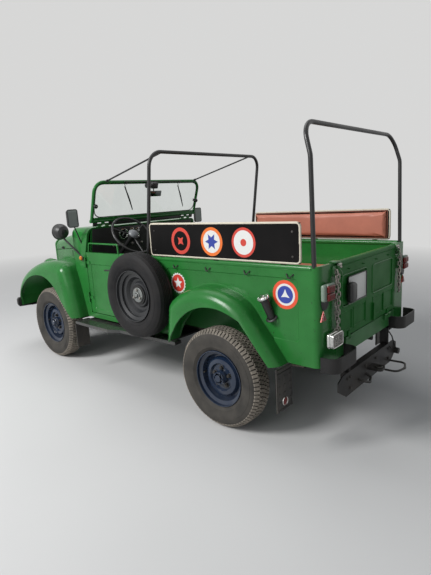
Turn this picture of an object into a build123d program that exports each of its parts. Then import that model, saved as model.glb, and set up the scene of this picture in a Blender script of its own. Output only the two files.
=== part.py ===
from build123d import *
import os
from math import cos, radians, sin

os.makedirs("parts", exist_ok=True)

# Light army 4x4 car. Sizes in millimetres. The model is drawn level, with x forward from the middle of
# the wheelbase, y to the left and z up, and is then set nose down by RAKE and stood on its wheels.

# Stance
WHEELBASE = 2300.0
TRACK = 1440.0
RAKE = 2.0
ORIGIN_SHIFT = 100.0

# Wheels and running fits
TYRE_R = 365.0
TYRE_W = 176.0
RIM_R = 207.0
RIM_W = 136.0
BEAD_GAP = 0.4
STUD_CIRCLE_R = 69.85
STUD_COUNT = 5
STUD_R = 6.5
SPINDLE_R = 22.0
PIN_GAP = 0.05
MOVE_GAP = 6.0

# Axles and springs
KINGPIN_Y = 588.0
KINGPIN_R = 16.0
DRUM_R = 132.0
AXLE_TUBE_R = 36.0
DIFF_R = 124.0
DIFF_Y = 110.0
SPRING_W = 54.0
SPRING_HALF = 480.0

# Ladder frame
RAIL_Y = 385.0
RAIL_W = 55.0
RAIL_Z0 = 490.0
RAIL_Z1 = 590.0
FRAME_REAR = -1880.0
FRAME_FRONT = 1690.0
CROSS_W = 60.0

# Body tub
BODY_HALF = 703.0
SIDE_T = 22.0
SIDE_TOP = 1160.0
BODY_REAR = -1925.0
BODY_BOTTOM = 535.0
CORNER_R = 45.0
FLOOR_TOP = 612.0
TAILGATE_HALF = 490.0
TAILGATE_BOTTOM = 645.0
DOOR_REAR = -18.0
DOOR_FRONT = 505.0
DOOR_BOTTOM = 580.0
DOOR_T = 34.0
DOOR_GAP = 7.0

# Cowl and nose
COWL_FRONT = 700.0
COWL_TOP = 1385.0
SHOULDER_R = 64.0
PILLAR_X = 498.0
SHEET_T = 14.0
DASH_BOTTOM = 1060.0
HOOD_FRONT = 1585.0
HOOD_REAR_HALF = 590.0
HOOD_FRONT_HALF = 400.0
HOOD_TOP_REAR = 1368.0
HOOD_TOP_FRONT = 1235.0
HOOD_SPLIT_REAR = 1185.0
HOOD_SPLIT_FRONT = 1120.0
GRILLE_T = 24.0
GRILLE_BOTTOM = 640.0
SLOT_COUNT = 9
SLOT_W = 34.0
LAMP_Y = 505.0
LAMP_Z = 930.0
LAMP_R = 95.0
LAMP_DEPTH = 150.0

# Wheel arches and fenders
ARCH_X = -1168.0
ARCH_Z = 360.0
ARCH_R = 505.0
FENDER_OUT = 862.0
FENDER_T = 12.0
REAR_ROLL = 95.0
FRONT_ROLL = 104.0
PRESS = 5.0
PANEL_TOP = 1082.0
PANEL_LOW = 681.0
PANEL_REAR = -1785.0
PANEL_FRONT = -610.0
PANEL_CORNER = 30.0
WHEEL_BOX_Y = 560.0
WHEEL_BOX_TOP = 880.0
WHEEL_BOX_HALF = 530.0

# Windscreen
SCREEN_LEAN = 18.4
SCREEN_Z = 1410.0
SCREEN_H = 396.0
SCREEN_HALF = 664.0
SCREEN_TUBE_R = 15.0
SCREEN_BAR_Z = 33.0
GLASS_T = 6.0

# Benches, bows and spare wheel
BENCH_X0 = -1803.0
BENCH_X1 = -455.0
BOARD_Z0 = 1174.0
BOARD_Z1 = 1418.0
BOW_R = 14.0
BOW_Y = 690.0
BOW_BEND = 110.0
STAY_Y = 560.0
STAY_END_X = 254.0
STAY_END_Z = 1792.0
SPARE_X = -373.0
SPARE_Y = 806.0
SPARE_Z = 862.0
SPARE_R = 345.0
SPARE_W = 164.0

# Steering wheel and column
WHEEL_X = 190.0
WHEEL_Y = 375.0
WHEEL_Z = 1293.0
COLUMN_SLOPE = 40.0
STEER_R = 205.0

RAKE_SIN = sin(radians(RAKE))
RAKE_COS = cos(radians(RAKE))


def level(x, z):
    """Level-frame place of a point given in the standing frame."""
    return x * RAKE_COS - z * RAKE_SIN, x * RAKE_SIN + z * RAKE_COS


FRONT_X, FRONT_Z = level(WHEELBASE / 2, TYRE_R)
REAR_X, REAR_Z = level(-WHEELBASE / 2, TYRE_R)


def standing(point):
    """Place of a level-frame point in the finished standing frame."""
    x, y, z = point
    return x * RAKE_COS + z * RAKE_SIN + ORIGIN_SHIFT, y, -x * RAKE_SIN + z * RAKE_COS


def box(x0, x1, y0, y1, z0, z1):
    """Block between two corners."""
    block = Box(abs(x1 - x0), abs(y1 - y0), abs(z1 - z0))
    return Pos((x0 + x1) / 2, (y0 + y1) / 2, (z0 + z1) / 2) * block


def plate_xz(points, y0, y1):
    """Side profile of x, z points, run from y0 to y1."""
    wire = Polyline(*[(x, min(y0, y1), z) for x, z in points], close=True)
    return extrude(make_face(wire), amount=abs(y1 - y0), dir=(0, 1, 0))


def plate_yz(points, x0, x1):
    """Front profile of y, z points, run from x0 to x1."""
    wire = Polyline(*[(min(x0, x1), y, z) for y, z in points], close=True)
    return extrude(make_face(wire), amount=abs(x1 - x0), dir=(1, 0, 0))


def plate_xy(points, z0, z1):
    """Plan profile of x, y points, run from z0 to z1."""
    wire = Polyline(*[(x, y, min(z0, z1)) for x, y in points], close=True)
    return extrude(make_face(wire), amount=abs(z1 - z0), dir=(0, 0, 1))


def rod(start, end, radius):
    """Round bar from start to end."""
    a, b = Vector(*start), Vector(*end)
    way = b - a
    return extrude(Plane(origin=a, z_dir=way) * Circle(radius), amount=way.length)


def bent_tube(points, radius, bend):
    """Round tube along straight runs joined by bends."""
    path = FilletPolyline(*points, radius=bend)
    return sweep(Plane(origin=path @ 0, z_dir=path % 0) * Circle(radius), path=path)


def turned(profile, x, y, z):
    """Body of revolution about a line along y through x, z. The profile holds r and y offsets."""
    wire = Polyline(*[(x + r, y + w, z) for r, w in profile], close=True)
    return revolve(make_face(wire), axis=Axis((x, y, z), (0, 1, 0)), revolution_arc=360)


def mirrored(solid):
    """Same piece on the other side of the car."""
    return mirror(solid, about=Plane.XZ)


def pressing(face, way, depth=PRESS):
    """Shallow pressed recess with sloping sides, to be cut from a sheet."""
    return extrude(face, amount=depth, dir=way, taper=45)


def pressed_rect(place, across, up, width, height, corner, depth=PRESS):
    """Recess with round corners, pressed into a wall at place. across and up are the wall's own axes."""
    a, b = Vector(*across), Vector(*up)
    plane = Plane(origin=place, x_dir=a, z_dir=a.cross(b))
    return pressing(plane * RectangleRounded(width, height, corner), tuple(a.cross(b) * -1), depth)


parts = {}


def both(name, solid):
    """Left piece and its mirror image, each in its own node."""
    parts["left_" + name] = solid
    parts["right_" + name] = mirrored(solid)


def pair(name, solid):
    """Left piece and its mirror image in one node."""
    parts[name] = Compound([solid, mirrored(solid)])


def hinge(centre, along, length, radius):
    """Fixed outer knuckles with the pin, and the moving middle knuckle, about one line."""
    c = Vector(*centre)
    d = Vector(*along)

    def bar(a, b, r):
        return rod(c + d * a, c + d * b, r)

    third = length / 6
    pin_r = radius * 0.5
    fixed = bar(-length / 2, -third, radius) + bar(third, length / 2, radius) + bar(-third, third, pin_r)
    moving = bar(-third + 1, third - 1, radius) - bar(-third, third, pin_r + PIN_GAP)
    return fixed, moving


def tyre(x, y, z, radius, width):
    """Tyre with rounded shoulders on its bead seats."""
    w = width / 2
    bead = RIM_R + BEAD_GAP
    half = [(bead, 0.70 * w), (bead + 12, 0.78 * w), (0.78 * radius, w), (0.92 * radius, 0.94 * w),
            (radius - 9, 0.78 * w), (radius, 0.52 * w)]
    profile = [(r, -v) for r, v in half] + [(r, v) for r, v in reversed(half)]
    return turned(profile, x, y, z)


def rim(x, y, z, side):
    """Disc rim: flanges, drop centre, dished disc with stud holes and a centre bore."""
    w = RIM_W / 2
    profile = [(RIM_R, -w), (RIM_R, -w + 24), (RIM_R - 24, -w + 36), (RIM_R - 24, w - 36), (RIM_R, w - 24),
               (RIM_R, w), (RIM_R - 5, w), (RIM_R - 7, w - 22), (RIM_R - 31, w - 33), (RIM_R - 31, -6),
               (150, 0), (132, 26), (104, 32), (92, 14), (50, 14), (50, 4), (96, 4), (108, 22), (128, 16),
               (146, -12), (RIM_R - 31, -18), (RIM_R - 31, -w + 33), (RIM_R - 7, -w + 22), (RIM_R - 5, -w)]
    disc = turned([(r, side * v) for r, v in profile], x, y, z)
    for i in range(STUD_COUNT):
        a = radians(90 + 360 / STUD_COUNT * i)
        cx, cz = x + STUD_CIRCLE_R * cos(a), z + STUD_CIRCLE_R * sin(a)
        disc -= rod((cx, y - 60, cz), (cx, y + 60, cz), STUD_R)
    return disc


# The hub turns on the spindle and carries the rim on its studs
HUB_BACK = TRACK / 2 - 44


def hub(x, z):
    """Left hub and drum with studs, bored for the spindle."""
    y = TRACK / 2
    body = turned([(0, -44), (DRUM_R, -44), (DRUM_R, -4), (92, 4), (49.5, 4), (49.5, 34), (36, 62), (0, 62)],
                  x, y, z)
    body -= rod((x, HUB_BACK - 1, z), (x, y + 40, z), SPINDLE_R + PIN_GAP)
    for i in range(STUD_COUNT):
        a = radians(90 + 360 / STUD_COUNT * i)
        cx, cz = x + STUD_CIRCLE_R * cos(a), z + STUD_CIRCLE_R * sin(a)
        body += rod((cx, y - 4, cz), (cx, y + 34, cz), STUD_R)
    return body


def make_wheels():
    for end, x, z in (("front", FRONT_X, FRONT_Z), ("rear", REAR_X, REAR_Z)):
        left_hub = hub(x, z)
        for name, side in (("left", 1), ("right", -1)):
            y = side * TRACK / 2
            parts[f"{end}_{name}_tyre"] = tyre(x, y, z, TYRE_R, TYRE_W)
            parts[f"{end}_{name}_rim"] = rim(x, y, z, side) + (left_hub if side > 0 else mirrored(left_hub))


def axle_core(x, z, half, nose):
    """Axle tube with the differential housing off to one side."""
    tube = rod((x, -half, z), (x, half, z), AXLE_TUBE_R)
    bulb = Pos(x, DIFF_Y, z) * Sphere(DIFF_R)
    snout = rod((x, DIFF_Y, z), (x + nose * 205, DIFF_Y, z), 46)
    return tube + bulb + snout


PLATE_Y = HUB_BACK - MOVE_GAP
EAR_Y = KINGPIN_Y - 66


def make_axles():
    rear = axle_core(REAR_X, REAR_Z, PLATE_Y - 10, 1)
    for side in (1, -1):
        rear += rod((REAR_X, side * (PLATE_Y - 14), REAR_Z), (REAR_X, side * PLATE_Y, REAR_Z), DRUM_R)
        rear += rod((REAR_X, side * PLATE_Y, REAR_Z), (REAR_X, side * (TRACK / 2 + 30), REAR_Z), SPINDLE_R)
    parts["rear_axle"] = rear
    front = axle_core(FRONT_X, FRONT_Z, EAR_Y, -1)
    for side in (1, -1):
        inner, low, high = side * (EAR_Y - 18), FRONT_Z - 80, FRONT_Z + 80
        front += box(FRONT_X - 30, FRONT_X + 30, inner, side * EAR_Y, low, high)
        for dz in (-80, 58):
            ear = box(FRONT_X - 26, FRONT_X + 26, side * (EAR_Y - 2), side * (KINGPIN_Y + 24),
                      FRONT_Z + dz, FRONT_Z + dz + 22)
            ear -= rod((FRONT_X, side * KINGPIN_Y, FRONT_Z + dz - 5),
                       (FRONT_X, side * KINGPIN_Y, FRONT_Z + dz + 27), KINGPIN_R + PIN_GAP)
            front += ear
    parts["front_axle"] = front


def make_knuckles():
    """Steering knuckles: kingpin, yoke, spindle and backplate, with the steering arm."""
    x, z, y = FRONT_X, FRONT_Z, KINGPIN_Y
    piece = rod((x, y, z - 84), (x, y, z + 84), KINGPIN_R)
    piece += rod((x, y, z - 52), (x, y, z + 52), 34)
    piece += rod((x, y, z), (x, PLATE_Y, z), 32)
    piece += rod((x, PLATE_Y - 14, z), (x, PLATE_Y, z), DRUM_R)
    piece += rod((x, PLATE_Y, z), (x, TRACK / 2 + 30, z), SPINDLE_R)
    piece += box(x - 150, x, y - 14, y + 14, z - 48, z - 30)
    both("knuckle", piece)


def make_springs():
    """Leaf packs clamped on the axle tubes, hung from the rails by eyes and shackles."""
    packs = []
    for side in (1, -1):
        y0, y1 = side * (RAIL_Y - SPRING_W / 2), side * (RAIL_Y + SPRING_W / 2)
        for x, z in ((FRONT_X, FRONT_Z), (REAR_X, REAR_Z)):
            seat = z + AXLE_TUBE_R
            arch = [(x - SPRING_HALF, seat + 30), (x - 240, seat + 8), (x, seat), (x + 240, seat + 8),
                    (x + SPRING_HALF, seat + 30), (x + SPRING_HALF, seat + 38), (x + 240, seat + 26),
                    (x, seat + 26), (x - 240, seat + 26), (x - SPRING_HALF, seat + 38)]
            pack = plate_xz(arch, y0, y1)
            for end in (-1, 1):
                ex = x + end * (SPRING_HALF - 12)
                pack += box(ex - 12, ex + 12, y0, y1, seat + 26, RAIL_Z0)
            packs.append(pack)
    parts["leaf_springs"] = Compound(packs)


def make_frame():
    frame = None
    for side in (1, -1):
        rail = box(FRAME_REAR, FRAME_FRONT, side * (RAIL_Y - RAIL_W / 2), side * (RAIL_Y + RAIL_W / 2),
                   RAIL_Z0, RAIL_Z1)
        frame = rail if frame is None else frame + rail
    for x in (FRAME_REAR + CROSS_W / 2, -900, -330, 1440, FRAME_FRONT - CROSS_W / 2):
        frame += box(x - CROSS_W / 2, x + CROSS_W / 2, -RAIL_Y, RAIL_Y, RAIL_Z0 + 14, RAIL_Z1 - 14)
    parts["ladder_frame"] = frame


ENGINE_REAR = 712.0
ENGINE_BOTTOM = 545.0
SHAFT_R = 28.0


def make_drive():
    """Engine block, and the gearbox, transfer case and propeller shafts behind it."""
    parts["engine"] = box(ENGINE_REAR, 1310, -150, 150, ENGINE_BOTTOM, 1010)
    side_view = [(ENGINE_REAR, 545), (ENGINE_REAR, 700), (640, 585), (210, 585), (210, 470), (600, 450)]
    gearbox = plate_xz(side_view, -84, 84)
    gearbox -= box(500, 702, -90, 90, RAIL_Z1, 760)
    case = box(-90, 210, -84, DIFF_Y + 46, 400, 585)
    drive = gearbox + case
    joint_rear = REAR_X + 205
    joint_front = FRONT_X - 205
    drive += rod((joint_rear, DIFF_Y, REAR_Z), (joint_rear + 30, DIFF_Y, REAR_Z), 46)
    drive += rod((joint_rear + 16, DIFF_Y, REAR_Z), (-80, DIFF_Y, 445), SHAFT_R)
    drive += rod((joint_front - 30, DIFF_Y, FRONT_Z), (joint_front, DIFF_Y, FRONT_Z), 46)
    drive += rod((joint_front - 16, DIFF_Y, FRONT_Z), (200, DIFF_Y, 445), SHAFT_R)
    parts["driveline"] = drive


EXHAUST_Y = -255.0
EXHAUST_Z = 460.0


def make_exhaust():
    pipe = bent_tube([(1000, -149, 620), (1000, EXHAUST_Y, 620), (1000, EXHAUST_Y, EXHAUST_Z),
                      (FRAME_REAR + 30, EXHAUST_Y, EXHAUST_Z)], 20, 45)
    pipe -= box(900, 1100, -150, 0, 500, 700)
    parts["exhaust"] = pipe + rod((-700, EXHAUST_Y, 430), (-120, EXHAUST_Y, 430), 62)


def make_tank():
    parts["fuel_tank"] = fillet(box(-1800, -1320, 10, 350, 440, 588).edges().filter_by(Axis.X), 20)


def arch_cut(y0, y1):
    return rod((ARCH_X, y0, ARCH_Z), (ARCH_X, y1, ARCH_Z), ARCH_R)


def make_floor():
    """Floor, rear wheel boxes and inner rocker strips of the tub."""
    half = BODY_HALF - SIDE_T
    tub = box(BODY_REAR + SIDE_T, COWL_FRONT - SHEET_T, -half, half, RAIL_Z1, FLOOR_TOP)
    tub -= box(COWL_FRONT - SHEET_T - 60, COWL_FRONT, -110, 110, RAIL_Z1 - 1, FLOOR_TOP + 1)
    x0, x1 = ARCH_X - WHEEL_BOX_HALF, ARCH_X + WHEEL_BOX_HALF
    for side in (1, -1):
        tub -= box(x0, x1, side * WHEEL_BOX_Y, side * half, RAIL_Z1 - 1, FLOOR_TOP + 1)
        shell = box(x0 - 10, x1 + 10, side * (WHEEL_BOX_Y - 10), side * half, RAIL_Z1, WHEEL_BOX_TOP)
        shell -= box(x0, x1, side * WHEEL_BOX_Y, side * (half + 1), RAIL_Z1 - 1, WHEEL_BOX_TOP - 10)
        tub += shell
        tub -= box(DOOR_REAR - 1, DOOR_FRONT + 1, side * (BODY_HALF - DOOR_T - DOOR_GAP), side * half,
                   RAIL_Z1 - 1, FLOOR_TOP + 1)
    parts["floor_tub"] = tub


def side_recess():
    """Recess pressed into the side panel, following the fender's crown line at a small distance."""
    low = BODY_BOTTOM + 105
    panel = Polyline((PANEL_FRONT, 0, low), (PANEL_FRONT, 0, PANEL_TOP), (PANEL_REAR, 0, PANEL_TOP),
                     (PANEL_REAR, 0, PANEL_LOW), (PANEL_REAR + 185, 0, PANEL_LOW), (PANEL_REAR + 185, 0, low),
                     close=True)
    crown = offset(rear_fender_outline(BODY_BOTTOM - 60), 9)
    face = (make_face(panel) - crown).faces().sort_by(lambda f: f.area)[-1]
    top = face.vertices().group_by(Axis.Z)[-1]
    low_rear = [v for v in face.vertices() if v.X < PANEL_REAR + 1 and v.Z < PANEL_LOW + 1]
    return pressing(Pos(0, BODY_HALF, 0) * fillet(list(top) + low_rear, PANEL_CORNER), (0, -1, 0))


def make_sides():
    """Rear side panels: wall with rolled top, wheel arch and wrapped rear corner."""
    outer, inner = BODY_HALF, BODY_HALF - SIDE_T
    wall = box(BODY_REAR, DOOR_REAR, outer - SIDE_T, outer, BODY_BOTTOM, SIDE_TOP)
    corner = box(BODY_REAR, BODY_REAR + SIDE_T, TAILGATE_HALF, outer, BODY_BOTTOM, SIDE_TOP)
    side = wall + corner
    edge = side.edges().filter_by(Axis.Z).sort_by(lambda e: e.center().X - e.center().Y)[0]
    side = fillet(edge, CORNER_R)
    rail = rod((BODY_REAR + 50, inner + 6, SIDE_TOP - 14), (DOOR_REAR, inner + 6, SIDE_TOP - 14), 20)
    side += rail
    side += box(DOOR_REAR, DOOR_FRONT, inner, outer, BODY_BOTTOM, DOOR_BOTTOM)
    side += box(DOOR_REAR, DOOR_FRONT, inner - 32, inner + 1, DOOR_BOTTOM - 8, RAIL_Z1)
    side -= box(DOOR_REAR, DOOR_FRONT, inner - 12, outer + 1, DOOR_BOTTOM, RAIL_Z1 + 1)
    side -= arch_cut(0, 900)
    side -= side_recess()
    for z in (SIDE_TOP - 50, SIDE_TOP - 78):
        side += box(BODY_REAR - 10, BODY_REAR, TAILGATE_HALF + 14, TAILGATE_HALF + 40, z, z + 12)
    pair("body_sides", side)


def fender_hump(outline, inset, y0, y1, roll):
    """Solid under a fender: its side outline moved inwards by inset, run outwards and rolled over at y1."""
    low = BODY_BOTTOM - (30 if inset else 0)
    face = outline(low)
    if inset:
        face = offset(face, -inset)
    body = extrude(Pos(0, y0, 0) * face, amount=y1 - y0, dir=(0, 1, 0))
    rim = [e for e in body.edges() if abs(e.center().Y - y1) < 0.001 and e.center().Z > low + 20]
    return fillet(rim, roll - inset)


def rear_fender_outline(low):
    """Crown line of the rear fender on the side panel, closed along the bottom at height low."""
    front, rear = (-735, 0, 835), (-1440, 0, 880)
    face = make_face([Line((-690, 0, low), front), ThreePointArc(front, (-1098, 0, 985), rear),
                      Line(rear, (-1700, 0, low)), Line((-1700, 0, low), (-690, 0, low))])
    face = fillet([v for v in face.vertices() if v.Z > low + 50 and v.X > ARCH_X], 110)
    return fillet([v for v in face.vertices() if abs(v.X - rear[0]) < 2], 260)


def rear_lip():
    """Side outline of the opening round the rear wheel."""
    front, rear = (-850, 0, 705), (-1430, 0, 802)
    return make_face([Line((-690, 0, 480), front), ThreePointArc(front, (-1135, 0, 862), rear),
                      Line(rear, (-1690, 0, 480)), Line((-1690, 0, 480), (-690, 0, 480))])


def make_rear_fenders():
    """Bulged fender: a crown nearly level from the side panel, rolled down to a lip round the wheel."""
    shell = fender_hump(rear_fender_outline, 0, BODY_HALF, FENDER_OUT, REAR_ROLL)
    shell -= fender_hump(rear_fender_outline, FENDER_T, BODY_HALF - 1, FENDER_OUT - FENDER_T, REAR_ROLL)
    shell -= extrude(Pos(0, BODY_HALF - 10, 0) * rear_lip(), amount=200, dir=(0, 1, 0))
    pair("rear_fenders", shell)


def nose_half(x):
    """Half width of the nose at x, from the cowl to the radiator panel."""
    return HOOD_REAR_HALF + (HOOD_FRONT_HALF - HOOD_REAR_HALF) * (x - COWL_FRONT) / (HOOD_FRONT - COWL_FRONT)


def nose_z(x, rear, front):
    """Height between a rear and a front value at x."""
    return rear + (front - rear) * (x - COWL_FRONT) / (HOOD_FRONT - COWL_FRONT)


def front_fender_outline(low):
    """Side outline of the front fender, closed along the bottom at height low."""
    knee, top, brow, tip = (650, 0, 850), (712, 0, 1040), (1560, 0, 905), (1752, 0, 640)
    over = ThreePointArc(top, (1208, 0, 1040), brow)
    drop = TangentArc(brow, tip, tangent=over % 1)
    face = make_face([Line((575, 0, low), knee), Line(knee, top), over, drop, Line(tip, (tip[0], 0, low)),
                      Line((tip[0], 0, low), (575, 0, low))])
    face = fillet([v for v in face.vertices() if abs(v.X - top[0]) < 1], FRONT_ROLL + 14)
    return fillet([v for v in face.vertices() if abs(v.X - knee[0]) < 1], 200)


def fender_opening():
    """Side outline of the front wheel opening in the fender's outer wall."""
    line1 = Line((612, 0, 500), (800, 0, 705))
    arc1 = ThreePointArc((800, 0, 705), (945, 0, 858), (1190, 0, 919))
    arc2 = ThreePointArc((1190, 0, 919), (1500, 0, 830), (1725, 0, 600))
    line2 = Line((1725, 0, 600), (1725, 0, 500))
    line3 = Line((1725, 0, 500), (612, 0, 500))
    return make_face([line1, arc1, arc2, line2, line3])


LOUVRE_COUNT = 8


def hood_louvres():
    """Upright slots pierced through the nose's side panel ahead of the cowl."""
    slots = []
    for i in range(LOUVRE_COUNT):
        x = 858 + i * 29
        slots.append(box(x - 5, x + 5, nose_half(x) - 16, nose_half(x) + 12, 1072, 1140))
    return Compound(slots)


def make_front_fenders():
    """Front fenders: rounded top with an outer wall open round the wheel, and the nose side panel."""
    shell = fender_hump(front_fender_outline, 0, 380, FENDER_OUT, FRONT_ROLL)
    shell -= fender_hump(front_fender_outline, FENDER_T, 370, FENDER_OUT - FENDER_T, FRONT_ROLL)
    shell -= extrude(Pos(0, 800, 0) * fender_opening(), amount=100, dir=(0, 1, 0))
    shell -= box(500, COWL_FRONT, 300, BODY_HALF, 400, 1100)
    plan = [(COWL_FRONT, nose_half(COWL_FRONT)), (COWL_FRONT, 0), (1800, 0), (1800, nose_half(HOOD_FRONT)),
            (HOOD_FRONT, nose_half(HOOD_FRONT))]
    shell -= plate_xy(plan, 400, 1200)
    t = 10
    strip = [(COWL_FRONT, nose_half(COWL_FRONT)), (HOOD_FRONT, nose_half(HOOD_FRONT)),
             (HOOD_FRONT, nose_half(HOOD_FRONT) - t), (COWL_FRONT, nose_half(COWL_FRONT) - t)]
    panel = plate_xy(strip, 800, 1300)
    above = plate_xz([(600, nose_z(600, HOOD_SPLIT_REAR, HOOD_SPLIT_FRONT) - MOVE_GAP),
                      (1700, nose_z(1700, HOOD_SPLIT_REAR, HOOD_SPLIT_FRONT) - MOVE_GAP),
                      (1700, 1500), (600, 1500)], 0, 900)
    shell += panel - above
    shell -= hood_louvres()
    shell -= rod((HOOD_FRONT - LAMP_DEPTH, LAMP_Y, LAMP_Z), (1800, LAMP_Y, LAMP_Z), LAMP_R + 2)
    pair("front_fenders", shell)


def cowl_block(half, top, corner, bottom):
    """Block of the cowl's cross-section, with round upper corners."""
    block = box(DOOR_FRONT - 200, COWL_FRONT, -half, half, bottom, top)
    return fillet(block.edges().filter_by(Axis.X).group_by(Axis.Z)[-1], corner)


def make_cowl():
    """Cowl: side posts, sloped shoulders, top, bulkhead and dashboard."""
    rear_top = PILLAR_X - (COWL_TOP - SIDE_TOP) * 0.333
    half = BODY_HALF - SIDE_T
    outer = cowl_block(BODY_HALF, COWL_TOP, SHOULDER_R, BODY_BOTTOM)
    inner = cowl_block(half, COWL_TOP - SHEET_T, SHOULDER_R - SHEET_T, BODY_BOTTOM - 1)
    outline = plate_xz([(DOOR_FRONT, BODY_BOTTOM), (COWL_FRONT, BODY_BOTTOM), (COWL_FRONT, COWL_TOP),
                        (rear_top, COWL_TOP), (DOOR_FRONT, SIDE_TOP)], -BODY_HALF, BODY_HALF)
    cowl = (outer - inner) & outline
    cowl += box(COWL_FRONT - SHEET_T, COWL_FRONT, -half - 1, half + 1, FLOOR_TOP - 22, COWL_TOP) & outer
    dash_x = rear_top + 8
    inside = BODY_HALF - DOOR_T - DOOR_GAP
    cowl += plate_xz([(dash_x, COWL_TOP - 1), (dash_x + 60, DASH_BOTTOM), (dash_x + 74, DASH_BOTTOM),
                      (dash_x + 14, COWL_TOP - 1)], -inside, inside) & outer
    parts["cowl"] = cowl


def hood_face(x, half, low, top):
    """Cross-section of the nose: upright sides, rounded shoulders and a crowned top."""
    s = 70
    pts = [(x, -half, low), (x, -half, top - s), (x, -half + s, top - 8), (x, half - s, top - 8),
           (x, half, top - s), (x, half, low)]
    k = 0.3 * s
    edges = [Line(pts[0], pts[1]),
             ThreePointArc(pts[1], (x, -half + k, top - 8 - k), pts[2]),
             ThreePointArc(pts[2], (x, 0, top), pts[3]),
             ThreePointArc(pts[3], (x, half - k, top - 8 - k), pts[4]),
             Line(pts[4], pts[5]),
             Line(pts[5], pts[0])]
    return make_face(edges)


def make_hood():
    """Hood: crowned top with side skirts, hinged at the cowl."""
    x0, x1 = COWL_FRONT + MOVE_GAP, HOOD_FRONT
    faces = []
    for t in (0, SHEET_T):
        crown = nose_z(x0, HOOD_TOP_REAR, HOOD_TOP_FRONT) - t
        rear = hood_face(x0, nose_half(x0) - t, HOOD_SPLIT_REAR - 20, crown)
        front = hood_face(x1, nose_half(x1) - t, HOOD_SPLIT_FRONT - 20, HOOD_TOP_FRONT - t)
        faces.append(loft([rear, front], ruled=True))
    hood = faces[0] - faces[1]
    below = plate_xz([(x0 - 50, nose_z(x0 - 50, HOOD_SPLIT_REAR, HOOD_SPLIT_FRONT)),
                      (x1 + 50, nose_z(x1 + 50, HOOD_SPLIT_REAR, HOOD_SPLIT_FRONT)),
                      (x1 + 50, 1000), (x0 - 50, 1000)], -700, 700)
    hood -= below
    centre = (HOOD_AXIS_X, 0, HOOD_AXIS_Z)
    for y in (-420, 420):
        fixed, moving = hinge((centre[0], y, centre[2]), (0, 1, 0), 90, 7)
        leaf = box(centre[0], centre[0] + 40, y - 14, y + 14, centre[2] - 7, centre[2] - 1)
        low = box(centre[0] + 8, centre[0] + 40, y - 14, y + 14, HOOD_TOP_REAR - 24, centre[2] - 1)
        hood += moving + (leaf - rod((centre[0], y - 20, centre[2]), (centre[0], y + 20, centre[2]), 6)) + low
        base = box(centre[0] - 30, centre[0], y - 45, y + 45, COWL_TOP, centre[2] - 2)
        base -= box(centre[0] - 10, centre[0] + 1, y - 16, y + 16, COWL_TOP - 1, centre[2])
        parts["cowl"] += fixed + base
    parts["hood"] = hood


HOOD_AXIS_X = COWL_FRONT - 2
HOOD_AXIS_Z = COWL_TOP + 9


def make_nose():
    """Radiator panel with upright slots, and the round headlights beside it."""
    x0, x1 = HOOD_FRONT + MOVE_GAP, HOOD_FRONT + MOVE_GAP + GRILLE_T
    panel = box(x0, x1, -HOOD_FRONT_HALF, HOOD_FRONT_HALF, GRILLE_BOTTOM, HOOD_TOP_FRONT - 6)
    panel = fillet(panel.edges().filter_by(Axis.X).group_by(Axis.Z)[-1], SHOULDER_R)
    pitch = 2 * (HOOD_FRONT_HALF - 60) / SLOT_COUNT
    for i in range(SLOT_COUNT):
        y = (i - (SLOT_COUNT - 1) / 2) * pitch
        panel -= box(x0 - 1, x1 + 1, y - SLOT_W / 2, y + SLOT_W / 2, 760, 1120)
    for side in (1, -1):
        panel += box(HOOD_FRONT - 30, x1, side * 340, side * (HOOD_FRONT_HALF - 12), 640, 1080)
    parts["grille_panel"] = panel
    bowl = [(0, -LAMP_DEPTH), (0.4 * LAMP_R, 4 - LAMP_DEPTH), (0.78 * LAMP_R, -0.8 * LAMP_DEPTH),
            (0.96 * LAMP_R, -0.5 * LAMP_DEPTH), (LAMP_R, -20), (LAMP_R, 10), (0, 10)]
    lamp = Location((HOOD_FRONT, LAMP_Y, LAMP_Z), (0, 0, -90)) * turned(bowl, 0, 0, 0)
    pair("headlights", lamp)


BUMPER_X = 1797.0
BUMPER_HALF = 700.0
BUMPER_Z0 = 505.0
BUMPER_Z1 = 625.0
HOOP_DEPTH = 110.0
HOOP_Y0 = 385.0
HOOP_Y1 = 700.0
HOOP_Z0 = 518.0
HOOP_Z1 = 612.0
HOOP_T = 8.0
HOOP_CORNER = 66.0


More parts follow.
